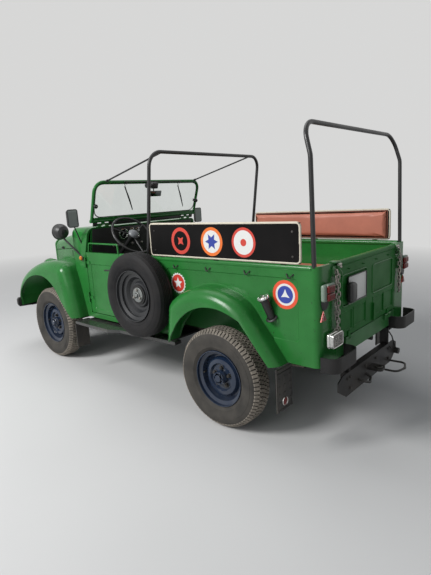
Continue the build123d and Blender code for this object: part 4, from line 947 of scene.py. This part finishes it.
def make_lever_knobs():
    """Polished knobs over the gear levers' ends, rubber boots at their feet."""
    ball = [(AXIS, -21), *arc(21.4, -75, 75, 10), (AXIS, 21)]
    small = [(r * 0.86, z * 0.86) for r, z in ball]
    piece("lever_knobs", "chrome", shifted(lathe(ball, 28), 255, 55, 1000),
          shifted(lathe(small, 28), 300, -90, 880))
    folds = [(52, 0), (54, 4), (44, 8), (47, 16), (38, 20), (41, 28), (30, 32), (33, 40), (20, 46), (12, 52)]
    boot = lathe(folds + [(AXIS, 52)], 32)
    boots = [shifted(boot, x, y, FLOOR_TOP + 0.5) for x, y in ((366, 0), (362, -74))]
    piece("lever_boots", "rubber", *boots)


def make_front_mats():
    """Black ribbed mats on the floor in front."""
    rib_foot = FLOOR_TOP + 5.5
    mats = []
    for side in (1, -1):
        mats.append(block(96, 668, side * 118, side * 640, FLOOR_TOP, rib_foot, 2, 1))
        for y in range(140, 621, 20):
            mats.append(block(110, 640, side * y - 3, side * y + 3, rib_foot, rib_foot + 2.5, 1, 1))
    piece("front_mats", "rubber", *mats)


def make_pedals():
    """Two ribbed pedals on bent arms, and the sloping one for the throttle."""
    pedals = []
    for y in (470, 390):
        pedals.append(block(556, 566, y - 32, y + 32, 742, 800, 4, 2))
        for z in range(749, 794, 11):
            pedals.append(block(553, 557, y - 28, y + 28, z, z + 4, 1, 1))
        pedals.append(bent([(562, y, 770), (600, y, 800), (640, y, 960), (690, y, 1010)], 40, 5, 8, 10))
    slope = Matrix.Translation((606, 0, 700)) @ Matrix.Rotation(radians(38), 4, "Y")
    pedals.append(moved(block(-4, 4, 286, 330, -88, 88, 4, 2), slope))
    piece("pedals", "plastic", *pedals)


def make_door_trim():
    """Lining, pocket, latch and handle of each door."""
    for name, side in SIDES:
        body = name + "_door_leaf"
        lining = block(10, 494, side * 667.5, side * 669.5, 640, 1138, 0.8, 1)
        piece(name + "_door_lining", "crackle", lining, body=body)
        pocket = joined(block(70, 420, side * 655, side * 667, 690, 860, 5, 2),
                        tube([(74, side * 654, 864), (416, side * 654, 864)], 4, 8))
        piece(name + "_door_pocket", "seat", pocket, body=body)
        lever = [(44, side * 660, 1032), (44, side * 642, 1032), (128, side * 640, 1024)]
        latch = joined(block(16, 96, side * 658, side * 668, 1000, 1062, 4, 2), bent(lever, 10, 4, 6, 10))
        piece(name + "_door_inner_latch", "steel_dark", latch, body=body)
        grip = [(52, side * 733, 1022), (52, side * 746, 1022), (158, side * 746, 1016)]
        rose = aimed(disc(15, 12, 3, 28), (52, side * 723, 1022), (0, side, 0))
        piece(name + "_door_handle", "plastic", rose, bent(grip, 9, 4, 7, 12), body=body)


def make_spot_lamp():
    """Spot lamp's rim, reflector and glass."""
    spot = frame_at((735.0, 790.0, 1357.0), (0, 1, 0), (1, 0, 0))
    rim = lathe([(66, 34), (75, 33), (77, 40), (75, 47), (67, 48), (64, 43)], 56, closed=True)
    piece("spot_lamp_rim", "plastic", rim, place=spot)
    bowl = lathe([(AXIS, 16), (30, 20), (52, 28), (66, 40)], 48)
    piece("spot_lamp_reflector", "chrome", shifted(bowl, z=25), place=spot)
    front = lathe([(AXIS, 54), (30, 51), (52, 46), (66, 41), (66, 38), (AXIS, 38)], 48)
    piece("spot_lamp_lens", "lens", shifted(front, z=1), place=spot)


def make_outer_mirrors():
    """Glasses and rims of the outer mirrors."""
    glasses, rims = [], []
    for x, y, z in ((500, 800, 1480), (470, -800, 1410)):
        glasses.append(block(x - 13.4, x - 11.6, y - 46, y + 46, z - 74, z + 74, 0.8, 1))
        rims.append(bent(square(x - 11, y - 50, y + 50, z - 78, z + 78), 18, 6, 4, 10, closed=True))
    piece("mirror_glasses", "mirror", *glasses)
    piece("mirror_rims", "plastic", *rims)


def make_repeaters():
    """Amber repeaters on the cowl's sides."""
    dome = lathe([(AXIS, 22), (10, 21), (18, 16), (22, 8), (22, 4), (AXIS, 4)], 36)
    base = disc(25, 7, 2, 32)
    bases, domes = [[aimed(shape, (548, side * 723, 1106), (0, side, 0)) for side in (1, -1)]
                    for shape in (base, dome)]
    piece("repeater_bases", "plastic", *bases)
    piece("repeater_lenses", "amber_lens", *domes, slot="lamp")


def hit(node, start, way):
    """Where a ray first meets a CAD node, in millimetres in the level frame."""
    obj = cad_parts[node]
    inwards = obj.matrix_world.inverted() @ LEVEL
    a, b = inwards @ Vector(start), inwards @ (Vector(start) + Vector(way))
    found, place, _, _ = obj.ray_cast(a, (b - a).normalized())
    return LEVEL.inverted() @ obj.matrix_world @ place if found else None


HEADLAMP = (1595.0, 505.0, 930.0)
OPENING_R = 100.0
SEAL_R = 97.5


def make_lamp_seals():
    """Rubber seals that seat the headlamps in the fenders' openings."""
    _, lamp_y, lamp_z = HEADLAMP
    ray_start, least_x, gap, least_points = 1750, 1400, 16, 6
    for name, side in SIDES:
        line = []
        for i in range(64):
            out, up = cos(2 * pi * i / 64), sin(2 * pi * i / 64)
            start = (ray_start, side * (lamp_y + OPENING_R * out), lamp_z + OPENING_R * up)
            place = hit("front_fenders", start, REARWARD)
            if place and place.x > least_x:
                line.append(Vector((place.x, side * (lamp_y + SEAL_R * out), lamp_z + SEAL_R * up)))
        runs = [[]]
        for p in line + line[:1]:
            if runs[-1] and (p - runs[-1][-1]).length > gap:
                runs.append([])
            runs[-1].append(p)
        seal = [tube(run, 3.5, 10) for run in runs if len(run) >= least_points]
        piece(name + "_headlamp_seal", "rubber", *seal)


def make_headlamps():
    """Headlamp rims, ribbed glasses and reflectors."""
    rim = lathe([(82, -2), (96, -14), (99, -6), (97, 6), (88, 12), (81, 8)], 64, closed=True)
    bowl = lathe([(AXIS, 0.5), (60, 1.5), (84, 5)], 48)
    lens = lathe([(AXIS, 26), (28, 24), (52, 19), (72, 11), (83, 4), (83, 2), (AXIS, 2)], 64)
    ribs = joined(*[block(12, 17, y - 2, y + 2, -60, 60, 1, 1) for y in range(-60, 61, 15)])
    rims, bowls, glasses = [], [], []
    for side in (1, -1):
        where, way = (HEADLAMP[0], side * HEADLAMP[1], HEADLAMP[2]), (1, 0, 0)
        rims.append(aimed(rim, where, way))
        bowls.append(aimed(bowl, where, way))
        glasses.extend([aimed(lens, where, way), shifted(ribs, *where)])
    piece("headlamp_rims", "chrome", *rims, slot="lamp_metal")
    piece("headlamp_reflectors", "chrome", *bowls, slot="lamp_metal")
    piece("headlamp_glasses", "lens", *glasses, slot="lamp")


def make_radiator():
    """Core with its fins behind the grille's slots, between two tanks."""
    fins = [block(1546, 1551, -318 + 12 * i, -311 + 12 * i, 690, 1150, 0) for i in range(54)]
    core = block(1534, 1546, -330, 330, 680, 1160, 3, 1)
    piece("radiator_core", "steel_dark", core, *fins)
    tanks = [block(1528, 1553, -335, 335, 1150, 1178, 5, 2), block(1528, 1553, -335, 335, 664, 690, 5, 2)]
    piece("radiator_tanks", "black", *tanks)


def make_nose():
    """Aprons between the grille and the fenders, and the bumper's bent tips."""
    apron = [(398, 642), (500, 610), (500, 826), (452, 838), (420, 870), (398, 905)]
    piece("nose_aprons", "paint", both_sides(upright(apron, 3, 0, 1546)), slot="body_paint")
    tip = [(699, 507), (699, 623), (836, 616), (852, 596), (852, 542), (836, 516)]
    piece("bumper_tips", "black", both_sides(upright(tip, 38, 4, 1758)))


def make_hood_latches():
    """Wire latches on the hood's sides."""
    latches = []
    for side in (1, -1):
        y = hit("hood", (1330, side * 800, 1150), (0, -side, 0)).y
        near, far = y + side * 6, y + side * 20
        latches.append(block(1308, 1352, y - side * 2, near, 1132, 1166, 3, 2))
        loop = [(1316, near, 1158), (1316, far, 1150), (1344, far, 1150), (1344, near, 1158)]
        latches.append(bent(loop, 8, 4, 4.5, 10))
    piece("hood_latches", "black", *latches, body="hood_lid")


# Where the mud flaps' rear faces are
REAR_FLAP_X, FRONT_FLAP_X = -1711.0, 578.5


def make_flaps():
    """Raised pattern on the rear flaps, and the strips and bolts that clamp all four."""
    stud = lathe([(AXIS, 3), (14, 3), (17, 0), (AXIS, 0)], 6)
    pattern, strips, bolts = [], [], []
    for side in (1, -1):
        for row in range(4):
            for col in range(3):
                # the left flap's reflector takes the middle place of the lowest row
                if (side, row, col) != (1, 0, 1):
                    where = (REAR_FLAP_X - 1, side * (706 + 60 * col), 300 + 52 * row)
                    pattern.append(aimed(stud, where, REARWARD))
        border = square(REAR_FLAP_X - 2, side * 688, side * 844, 256, 500)
        pattern.append(bent(border, 8, 3, 3, 6, closed=True))
        strips.append(block(REAR_FLAP_X - 5, REAR_FLAP_X, side * 684, side * 848, 508, 530, 1.5, 1))
        strips.append(block(FRONT_FLAP_X - 4.5, FRONT_FLAP_X, side * 719, side * 848, 460, 482, 1.5, 1))
        for x, z, ys in ((REAR_FLAP_X - 5, 519, (700, 766, 832)), (FRONT_FLAP_X - 4.5, 471, (738, 828))):
            bolts.extend([bolt(7, 5, (x, side * y, z), REARWARD) for y in ys])
    piece("flap_pattern", "rubber", *pattern)
    piece("flap_strips", "steel_dark", *strips, *bolts)


def make_flap_reflector():
    """Round red reflector on the left rear flap."""
    where = (REAR_FLAP_X - 2, 772, 305)
    rim = lathe([(25, 0), (29, 0), (29, 5), (27, 8), (25, 6)], 40, closed=True)
    eye = lathe([(AXIS, 10), (14, 9), (25, 5), (25, 0), (AXIS, 0)], 40)
    piece("flap_reflector_rim", "chrome", aimed(rim, where, REARWARD))
    piece("flap_reflector", "red_lens", aimed(eye, where, REARWARD))


# Soft goods: shells filled as cloth under pressure

def surface_of(obj):
    """Points and faces of an object after its modifiers."""
    shape = obj.evaluated_get(bpy.context.evaluated_depsgraph_get()).data
    return [v.co.copy() for v in shape.vertices], [tuple(f.vertices) for f in shape.polygons]


def object_of(chunk):
    mesh = bpy.data.meshes.new("shell")
    mesh.from_pydata([Vector(p) for p in chunk[0]], [], chunk[1])
    obj = bpy.data.objects.new("shell", mesh)
    bpy.context.scene.collection.objects.link(obj)
    return obj


def discard(obj):
    mesh = obj.data
    bpy.data.objects.remove(obj)
    bpy.data.meshes.remove(mesh)


def changed(chunk, kind, **settings):
    """Chunk after one modifier."""
    obj = object_of(chunk)
    modifier = obj.modifiers.new(kind, kind)
    for key, value in settings.items():
        setattr(modifier, key, value)
    result = surface_of(obj)
    discard(obj)
    return result


FILL_FRAMES, FILL_PRESSURE = 20, 4.0


def inflated(chunk, held):
    """Points of a shell in metres once it has been blown up as cloth. The held ones stay in place."""
    scene = bpy.context.scene
    obj = object_of(chunk)
    obj.vertex_groups.new(name="held").add(held, 1.0, "REPLACE")
    cloth = obj.modifiers.new("cloth", "CLOTH")
    cloth.settings.use_pressure = True
    cloth.settings.uniform_pressure_force = FILL_PRESSURE
    cloth.settings.effector_weights.gravity = 0.0
    cloth.settings.vertex_group_mass = "held"
    cloth.point_cache.frame_start, cloth.point_cache.frame_end = 1, FILL_FRAMES
    for number in range(1, FILL_FRAMES + 1):
        scene.frame_set(number)
    points = surface_of(obj)[0]
    scene.frame_set(1)
    discard(obj)
    return points


def filled(chunk, voxel, cap, held):
    """Cushion blown up from a slightly small shell. Points for which held is true stay where they are."""
    shell = moved(chunk, Matrix.Scale(MM, 4))
    start, faces = changed(shell, "REMESH", mode="VOXEL", voxel_size=voxel * MM)
    blown = inflated((start, faces), [i for i, p in enumerate(start) if held(p / MM)])
    points = []
    for a, b in zip(start, blown):
        move = b - a
        points.append(a + move * min(1.0, cap * MM / max(move.length, 1e-9)))
    points, faces = changed((points, faces), "SUBSURF", levels=1, render_levels=1)
    return [p / MM for p in points], faces


def pad_outline(x0, x1, y0, y1, pull):
    """Outline of a pad whose sides pull in between its corners."""
    steps = 14
    corners = [Vector(p) for p in ((x0, y0), (x1, y0), (x1, y1), (x0, y1))]
    middle = Vector(((x0 + x1) / 2, (y0 + y1) / 2))
    points = []
    for a, b in zip(corners, corners[1:] + corners[:1]):
        inwards = (middle - (a + b) / 2).normalized()
        for k in range(steps):
            t = k / steps
            points.append(tuple(a + (b - a) * t + inwards * pull * 4 * t * (1 - t)))
    return points


def cushion(x0, x1, y0, y1, z0, z1, voxel, cap, pull):
    """Filled cushion that lies flat on z0."""
    outline = pad_outline(x0, x1, y0, y1, pull)
    shell = shifted(prism(outline, z1 - z0, bevel=min(10.0, 0.3 * (z1 - z0))), z=z0)
    return filled(shell, voxel, cap, lambda p: p[2] < z0 + 2.0)


def piping(x0, x1, y0, y1, z, pull, radius, sides):
    """Thin bar along a pad's outline."""
    return tube([(x, y, z) for x, y in pad_outline(x0, x1, y0, y1, pull)], radius, sides, closed=True)


def padded_pair(node, material, slot, seat_name, seat, back_name, back):
    """Seat and back of both sides as padded pieces, with the CAD node hidden."""
    for side_name, turn in (("left", joined), ("right", mirrored)):
        seat_pad = piece(f"{side_name}_{seat_name}", material, turn(seat), slot=slot, sharp=70)
        back_pad = piece(f"{side_name}_{back_name}", material, turn(back), slot=slot, sharp=70)
        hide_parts(node)


def make_bench_pads():
    """Bench cushions and back pads, each on its beige-edged board."""
    x0, x1, y0, y1, low = -1797, -461, 300, 666, 906
    seat = cushion(x0, x1, y0, y1, low, low + 34, 10.0, 14.0, 3.0)
    seams = piping(x0 - 3, x1 + 3, y0 - 3, y1 + 3, low + 28, 3.0, 3.0, 6)
    # the back pad is drawn lying down, then stood against the board: its z is the way towards the middle
    back = cushion(x0 + 8, x1 - 8, 1186, 1406, 0, 24, 9.0, 12.0, 3.0)
    back = moved(back, Matrix(((1, 0, 0, 0), (0, 0, -1, 688), (0, 1, 0, 0), (0, 0, 0, 1))))
    corners = [(x, 678, z) for x, z in ((x0 + 7, 1186), (x1 - 7, 1186), (x1 - 7, 1407), (x0 + 7, 1407))]
    rim = bent(corners, 12, 4, 3.0, 6, closed=True)
    padded_pair("bench_pads", "bench", "bench_cover", "bench_cushion", seat, "bench_back_pad", back)
    piece("bench_piping", "bench_dark", both_sides(joined(seams, rim)), slot="bench_cover")
    board = block(x0 - 4, x1 + 4, y0 - 8, y1 + 5, low - 9.5, low, 3, 2)
    piece("bench_seat_boards", "trim", both_sides(board))


def make_front_seats():
    """Two bucket seats: cushion and back, welted, on a sheet base."""
    x0, x1, y0, y1, low, pull = -318, 98, 168.0, 582.0, 838, 8.0
    seat = cushion(x0, x1, y0, y1, low, low + 54, 10.0, 22.0, pull)
    welt = piping(x0 - 6, x1 + 6, y0 - 6, y1 + 6, low + 55, pull, 4.0, 8)
    # the back is drawn lying down, then leaned: its x runs up the seat and its z forwards
    slope = Vector((-90.0, 0.0, 405.0)).normalized()
    lean = Matrix((slope, (0, 1, 0), Vector((0, 1, 0)).cross(slope))).transposed().to_4x4()
    lean.translation = Vector((x0, 0, 932))
    back = moved(cushion(0, 392, y0 + 2, y1 - 2, 0, 44, 10.0, 20.0, pull), lean)
    back_welt = moved(piping(-5, 397, y0 - 3, y1 + 3, 24, pull, 4.0, 8), lean)
    frames = [block(x0 + 18, x1 - 18, y0 + 27, y1 - 27, FLOOR_TOP - 0.5, low - 2, 6, 2),
              block(x0 - 8, x1 + 8, y0 - 4, y1 + 4, low - 12, low + 1, 4, 2),
              moved(block(-2, 394, y0, y1, -7, 3, 6, 2), lean)]
    for y in (190, 560):
        frames.append(bent([(x0 + 8, y, 845), (x0 - 20, y, 846), (x0 - 34, y, 960)], 14, 4, 9, 10))
    padded_pair("front_seats", "seat", "seat_cover", "seat_cushion", seat, "seat_back", back)
    piece("seat_welts", "seat", both_sides(joined(welt, back_welt)), slot="seat_cover")
    piece("seat_frames", "inner", both_sides(joined(*frames)))


# Stage: floor, light and the camera of the photograph

BACKDROP = (0.68, 0.68, 0.675, 1.0)
SKY_STRENGTH = 0.26
# Distances in metres between which the floor fades
FADE_START, FADE_END = 3.6, 9.5


def seen_rays(tree):
    """1 for the rays that show the surround itself: the camera's, and those off metal and through glass."""
    rays = add_node(tree, "LightPath").outputs
    total = rays["Is Camera Ray"]
    for kind in ("Is Glossy Ray", "Is Transmission Ray"):
        total = add_node(tree, "Math", {0: total, 1: rays[kind]}, operation="MAXIMUM").outputs[0]
    return total


def make_floor():
    """Pale floor that fades into a surround of the same colour, so that no horizon shows."""
    bpy.ops.mesh.primitive_plane_add(size=60, location=(0, 0, 0))
    floor = bpy.context.object
    floor.name = "floor"
    n = Nodes("pale_floor")
    shade = n.mix(n.ramp(n.noise(0.6), 0.3, 0.7), (0.6, 0.6, 0.595), (0.63, 0.63, 0.625))
    n.set(colour=shade, rough=0.9, specular=0.1)
    far = n.add("VectorMath", {0: n.place}, operation="LENGTH").outputs["Value"]
    backdrop = n.add("Emission", {"Color": BACKDROP, "Strength": 1.0})
    share = n.times(n.ramp(far, FADE_START, FADE_END), seen_rays(n.tree))
    blend = n.add("MixShader", {0: share, 1: n.shader.outputs[0], 2: backdrop.outputs[0]})
    feed(n.tree, n.tree.nodes["Material Output"].inputs[0], blend.outputs[0])
    floor.data.materials.append(n.material)


def make_surround():
    """Soft light from all sides, which looks like the floor's far end where it is seen."""
    world = bpy.data.worlds.new("studio")
    bpy.context.scene.world = world
    world.use_nodes = True
    tree = world.node_tree
    light = tree.nodes["Background"]
    light.inputs["Color"].default_value = (0.8, 0.84, 0.9, 1)
    light.inputs["Strength"].default_value = SKY_STRENGTH
    seen = add_node(tree, "Background", {"Color": BACKDROP})
    mixer = add_node(tree, "MixShader", {0: seen_rays(tree), 1: light.outputs[0], 2: seen.outputs[0]})
    feed(tree, tree.nodes["World Output"].inputs[0], mixer.outputs[0])


# Lamps: name, place, size, power
LAMPS = [("key", (2.0, 6.5, 5.5), 2.5, 560.0), ("side", (-1.0, 7.0, 4.0), 4.0, 90.0),
         ("back", (-6.0, -4.0, 4.0), 5.0, 25.0), ("top", (2.0, 0.0, 7.5), 5.0, 150.0)]
LIT_POINT = Vector((0, 0, 0.8))


def make_lights():
    for name, where, size, power in LAMPS:
        light = bpy.data.lights.new(name, "AREA")
        light.size = size
        light.energy = power
        obj = bpy.data.objects.new(name, light)
        obj.location = where
        obj.rotation_euler = (LIT_POINT - Vector(where)).to_track_quat("-Z", "Y").to_euler()
        bpy.context.scene.collection.objects.link(obj)


CAMERA_PLACE = (-3.011, 2.958, 1.691)
CAMERA_AZIMUTH, CAMERA_ELEVATION, CAMERA_ROLL = radians(-48.01), radians(-12.69), radians(-1.85)
FOCAL_PIXELS, PHOTO_HEIGHT, SENSOR = 441.7, 575, 36.0


def make_camera():
    az, el, roll = CAMERA_AZIMUTH, CAMERA_ELEVATION, CAMERA_ROLL
    ahead = Vector((cos(el) * cos(az), cos(el) * sin(az), sin(el)))
    right = ahead.cross(Vector((0, 0, 1))).normalized()
    up = right.cross(ahead)
    x = right * cos(roll) + up * sin(roll)
    y = up * cos(roll) - right * sin(roll)
    data = bpy.data.cameras.new("photo_camera")
    data.sensor_width = SENSOR
    data.lens = FOCAL_PIXELS / PHOTO_HEIGHT * SENSOR
    camera = bpy.data.objects.new("photo_camera", data)
    turn = Matrix((x, y, -ahead)).transposed().to_4x4()
    camera.matrix_world = Matrix.Translation(CAMERA_PLACE) @ turn
    bpy.context.scene.collection.objects.link(camera)
    bpy.context.scene.camera = camera


for wheel, outward in WHEELS:
    make_tyre(wheel, outward)
make_spare_tyre()
for wheel, outward in WHEELS:
    dress_wheel(wheel, outward)
for make in (dress_spare, make_tail_lamps, make_reversing_lamp, make_rear_plate, make_tailgate_trim,
             make_tailgate_latches, make_chains, make_hitch_trim, make_canvas_hooks, make_filler_cap,
             make_discs, make_board_trim, make_windscreen, make_wipers, make_screen_fittings,
             make_dashboard, make_dash_knobs, make_glove_box, make_steering_trim, make_lever_knobs,
             make_front_mats, make_pedals, make_door_trim, make_spot_lamp, make_outer_mirrors,
             make_repeaters, make_lamp_seals, make_headlamps, make_radiator, make_nose,
             make_hood_latches, make_flaps, make_flap_reflector, make_bench_pads, make_front_seats,
             make_floor, make_surround, make_lights, make_camera):
    make()
bpy.context.scene.view_settings.view_transform = "Standard"
